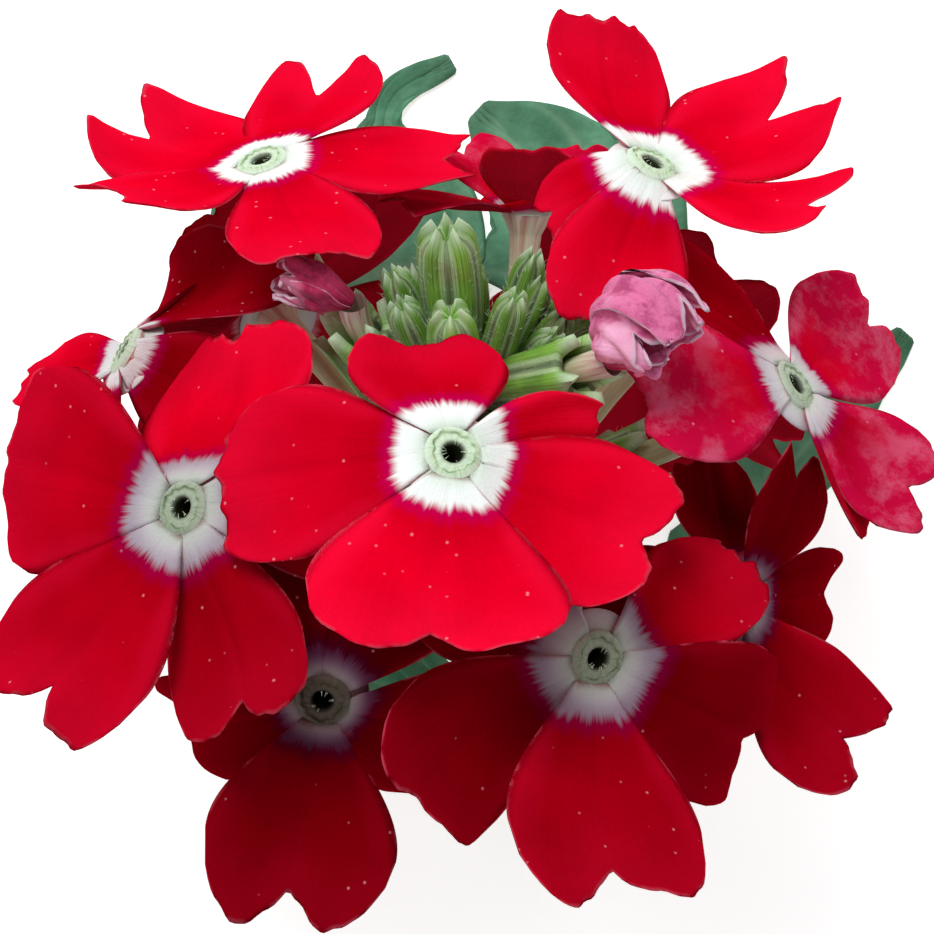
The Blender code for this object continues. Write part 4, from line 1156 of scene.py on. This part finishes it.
def smooth_path(bends, steps):
    """A curve through every bend: on each stretch a cubic whose slopes look at the next bends."""
    bends = np.asarray(bends, float)
    ends = np.concatenate([[2 * bends[0] - bends[1]], bends, [2 * bends[-1] - bends[-2]]])
    before, here, there, after = (ends[k:len(ends) - 3 + k, None] for k in range(4))
    t = (np.arange(steps) / steps)[None, :, None]
    curve = 2 * here + (there - before) * t + (2 * before - 5 * here + 4 * there - after) * t**2
    curve = 0.5 * (curve + (3 * here - before - 3 * there + after) * t**3)
    return np.concatenate([curve.reshape(-1, 3), bends[-1:]])


def stem_patches():
    """Radius swell(s) (0.95 + 0.07 ridge) with ridge = (1 + cos 4 angle) / 2, closed at both ends."""
    bends = [rachis_point(9.0), rachis_point(0.0), rachis_point(-9.0), *STEM_BENDS]
    path = smooth_path(bends, STEM_STEPS)
    run = lengths_of(path)
    places = np.linspace(0, run[-1], STEM_RINGS)
    angles = ring_angles(STEM_SIDES)
    ridge = (1 + np.cos(4 * angles)) / 2
    swell = np.interp(places, run[::STEM_STEPS], STEM_RADII)[:, None]
    surface = ring_surface(path, places, 0.97 * swell * (0.95 + 0.07 * ridge), angles)
    surface = np.concatenate([pole(path, 0.0, angles), surface, pole(path, run[-1], angles)])
    edge = np.zeros(surface.shape[:2])
    edge[-1] = 1.0
    body = tube_patch(surface, STEM, seed=ridge, edge=edge)
    return [body, hairs_on(surface[2:-2], count=420, length=0.5, radius=0.02, lean=0.0)]


green_patches = stem_patches()
for floret in FLORETS.values():
    green_patches += calyx_patches(floret_path(floret))
for bud in PINK_BUDS.values():
    green_patches += calyx_patches(pink_bud_path(bud), tone=1.0)
for bud in GREEN_BUDS:
    green_patches += green_bud_patches(bud)
finishes = [calyx_green, hair_pale, stem_olive]
nodes = ["stem_and_calyces"]
build_piece("stem_calyces_and_buds", green_patches, finishes, nodes)

# %% [markdown]
# ## Leaves
# A leaf lies along a bent line on the surface. Its half width is read from a short list and cut
# by teeth, and its veins are shallow grooves: one down the middle, and one from it to each tooth.
# The outline, the drop from the stem and the ripple are the solid leaf's.

# %% The four leaves
Leaf = namedtuple("Leaf", "line height half_widths teeth")
LEAF_REST = 0.3
LEAF_DROP = 0.28
LEAF_TOOTH = 0.3
TOOTH_PLACE = 0.72
LEAF_THICKNESS = 0.34
ROWS_PER_TOOTH, LEAF_COLUMNS = 30, 41
LEAVES = {
    "left": Leaf(
        [(1.3, -15.4), (-5, -10), (-9.5, -2), (-10.5, 7), (-5.8, 16), (-4.9, 22.8), (-0.9, 25.4)],
        5.6, [0.8, 1.4, 4.2, 6.0, 6.6, 9.6, 9.2, 1.3, 0.7], 7,
    ),
    "far_right": Leaf(
        [(7.9, -19.8), (12, -11), (16, -5), (21.5, 1.5), (27.6, 8.4)],
        2.0, [0.8, 1.4, 3.6, 3.2, 0.7], 6,
    ),
    "right": Leaf(
        [(4.9, -14.9), (7.5, -8), (9.2, 2), (8.8, 11), (5.6, 17.6), (0.6, 22.4)],
        5.6, [0.8, 1.2, 4.6, 7.1, 7.7, 0.9], 6,
    ),
    "lower_left": Leaf(
        [(3.4, -19.9), (0.5, -16.9), (-5, -14.7), (-10, -16.4), (-13.5, -19.5)],
        2.0, [0.8, 1.6, 2.5, 2.6, 0.6], 4,
    ),
}


def leaf_sheet(leaf, across, along):
    """Line point + side * across * toothed half width, with the drop, the ripple and the veins."""
    line = smooth_path([(x, y, 0.0) for x, y in leaf.line], 16)
    at = along * lengths_of(line)[-1]
    centre, ahead, behind = (points_at(line, at + shift) for shift in (0.0, 0.5, -0.5))
    heading = unit(ahead - behind)
    side = np.stack([-heading[..., 1], heading[..., 0], 0 * heading[..., 0]], -1)
    half = np.interp(along, np.linspace(0, 1, len(leaf.half_widths)), leaf.half_widths)
    place = (along * leaf.teeth) % 1.0
    saw = np.where(place < TOOTH_PLACE, place / TOOTH_PLACE, (1 - place) / (1 - TOOTH_PLACE)) ** 0.8
    toothed = half * (1 - LEAF_TOOTH * (1 - saw) * np.abs(across) ** 4)
    drop = (leaf.height - LEAF_REST) * np.clip(1 - along / LEAF_DROP, 0, 1) ** 2
    ripple = 1.1 * np.clip(np.sin(along * 3 * math.pi + 0.6) * across**2, 0, 1)
    ripple = ripple * np.clip((along - LEAF_DROP) / 0.05, 0, 1)
    vein_place = (along * leaf.teeth - TOOTH_PLACE - 1.1 * (np.abs(across) - 1)) % 1.0
    side_vein = np.exp(-((np.minimum(vein_place, 1 - vein_place) / 0.09) ** 2))
    side_vein = side_vein * (1 - np.abs(across) ** 6)
    vein = np.maximum(side_vein * 0.8, np.exp(-((across / 0.07) ** 2)))
    sheet = centre + side * (across * toothed)[..., None]
    quilt = 0.14 * (1 - vein) * (1 - across**8)
    sheet[..., 2] = LEAF_REST + drop + ripple + quilt - 0.10
    return sheet, vein


for name, leaf in LEAVES.items():
    across, along = rows_and_columns(ROWS_PER_TOOTH * leaf.teeth + 1, LEAF_COLUMNS)
    sheet, vein = leaf_sheet(leaf, across, along)
    marks = marks_of(across.shape, seed=vein, edge=np.maximum(np.abs(across), along))
    plan = np.stack([across / 2 + 0.5, along], -1)
    blade = blade_patch(sheet, LEAF_THICKNESS, plan, marks, upper=0, lower=0)
    fuzz = hairs_on(sheet[:, ::-1], count=300, length=0.4, radius=0.02)
    finishes, nodes = [leaf_green, hair_pale], ["leaf_" + name]
    build_piece("leaf_blade_" + name, [blade, fuzz], finishes, nodes)


# %% [markdown]
# ## Floor, light and camera
# The head is looked at from straight above, from about 18 centimetres over its middle. A wide
# lamp stands beyond the top of the picture, so the florets that face the viewer's side fall into
# deeper red, and an even sky fills the shadows. The floor is a pale sheet that also glows, a
# painted light that washes out its shadows and lights the head faintly from below.

# %% The floor


def make_floor():
    n = Finish("pale glowing floor", 0.9, 0.1)
    n.complete(n.blend(n.noise(n.place(), 30.0), (250, 250, 250), (254, 254, 254)))
    # Painted light: the floor glows white, which lightens its shadows and fills the head from below.
    n.shader["Emission Color"].default_value = (1, 1, 1, 1)
    n.shader["Emission Strength"].default_value = 0.6
    mesh = bpy.data.meshes.new("floor")
    corners = [(-0.9, -0.9, 0), (0.9, -0.9, 0), (0.9, 0.9, 0), (-0.9, 0.9, 0)]
    mesh.from_pydata(corners, [], [(0, 1, 2, 3)])
    mesh.materials.append(n.material)
    floor = bpy.data.objects.new("floor", mesh)
    bpy.context.scene.collection.objects.link(floor)
    return floor


floor = make_floor()
print("floor:", floor.name)

# %% Light
SKY_STRENGTH = 0.42
LAMP_PLACE, LAMP_TARGET = np.array([-0.10, 0.26, 0.46]), np.array([0, 0, 0.02])
LAMP_SIZE, LAMP_POWER = 0.24, 1.7

world = bpy.data.worlds.new("soft sky")
world.use_nodes = True
sky = world.node_tree.nodes["Background"].inputs
sky["Color"].default_value = (1.0, 1.0, 1.0, 1.0)
sky["Strength"].default_value = SKY_STRENGTH
bpy.context.scene.world = world

lamp = bpy.data.lights.new("key lamp", "AREA")
lamp.shape, lamp.size, lamp.energy = "DISK", LAMP_SIZE, LAMP_POWER
holder = bpy.data.objects.new("key lamp", lamp)
bpy.context.scene.collection.objects.link(holder)
holder.location = LAMP_PLACE.tolist()
aim = Vector((LAMP_TARGET - LAMP_PLACE).tolist())
holder.rotation_euler = aim.to_track_quat("-Z", "Y").to_euler()
print("sky strength", SKY_STRENGTH, "and one lamp")

# %% Camera
HEAD_DEPTH = 22.0
VIEW_DISTANCE = 180.0
MM_PER_PIXEL = 0.056
PICTURE = 934

camera = bpy.data.cameras.new("camera")
camera.sensor_width = 36.0
camera.lens = camera.sensor_width * VIEW_DISTANCE / (PICTURE * MM_PER_PIXEL)
camera.clip_start = 0.01
camera.clip_end = 10.0
viewer = bpy.data.objects.new("camera", camera)
viewer.location = ((SHIFT + [0, 0, HEAD_DEPTH + VIEW_DISTANCE]) * MM).tolist()
bpy.context.scene.collection.objects.link(viewer)
bpy.context.scene.camera = viewer
bpy.context.scene.view_settings.view_transform = "Standard"
print("lens", round(camera.lens, 1), "mm")
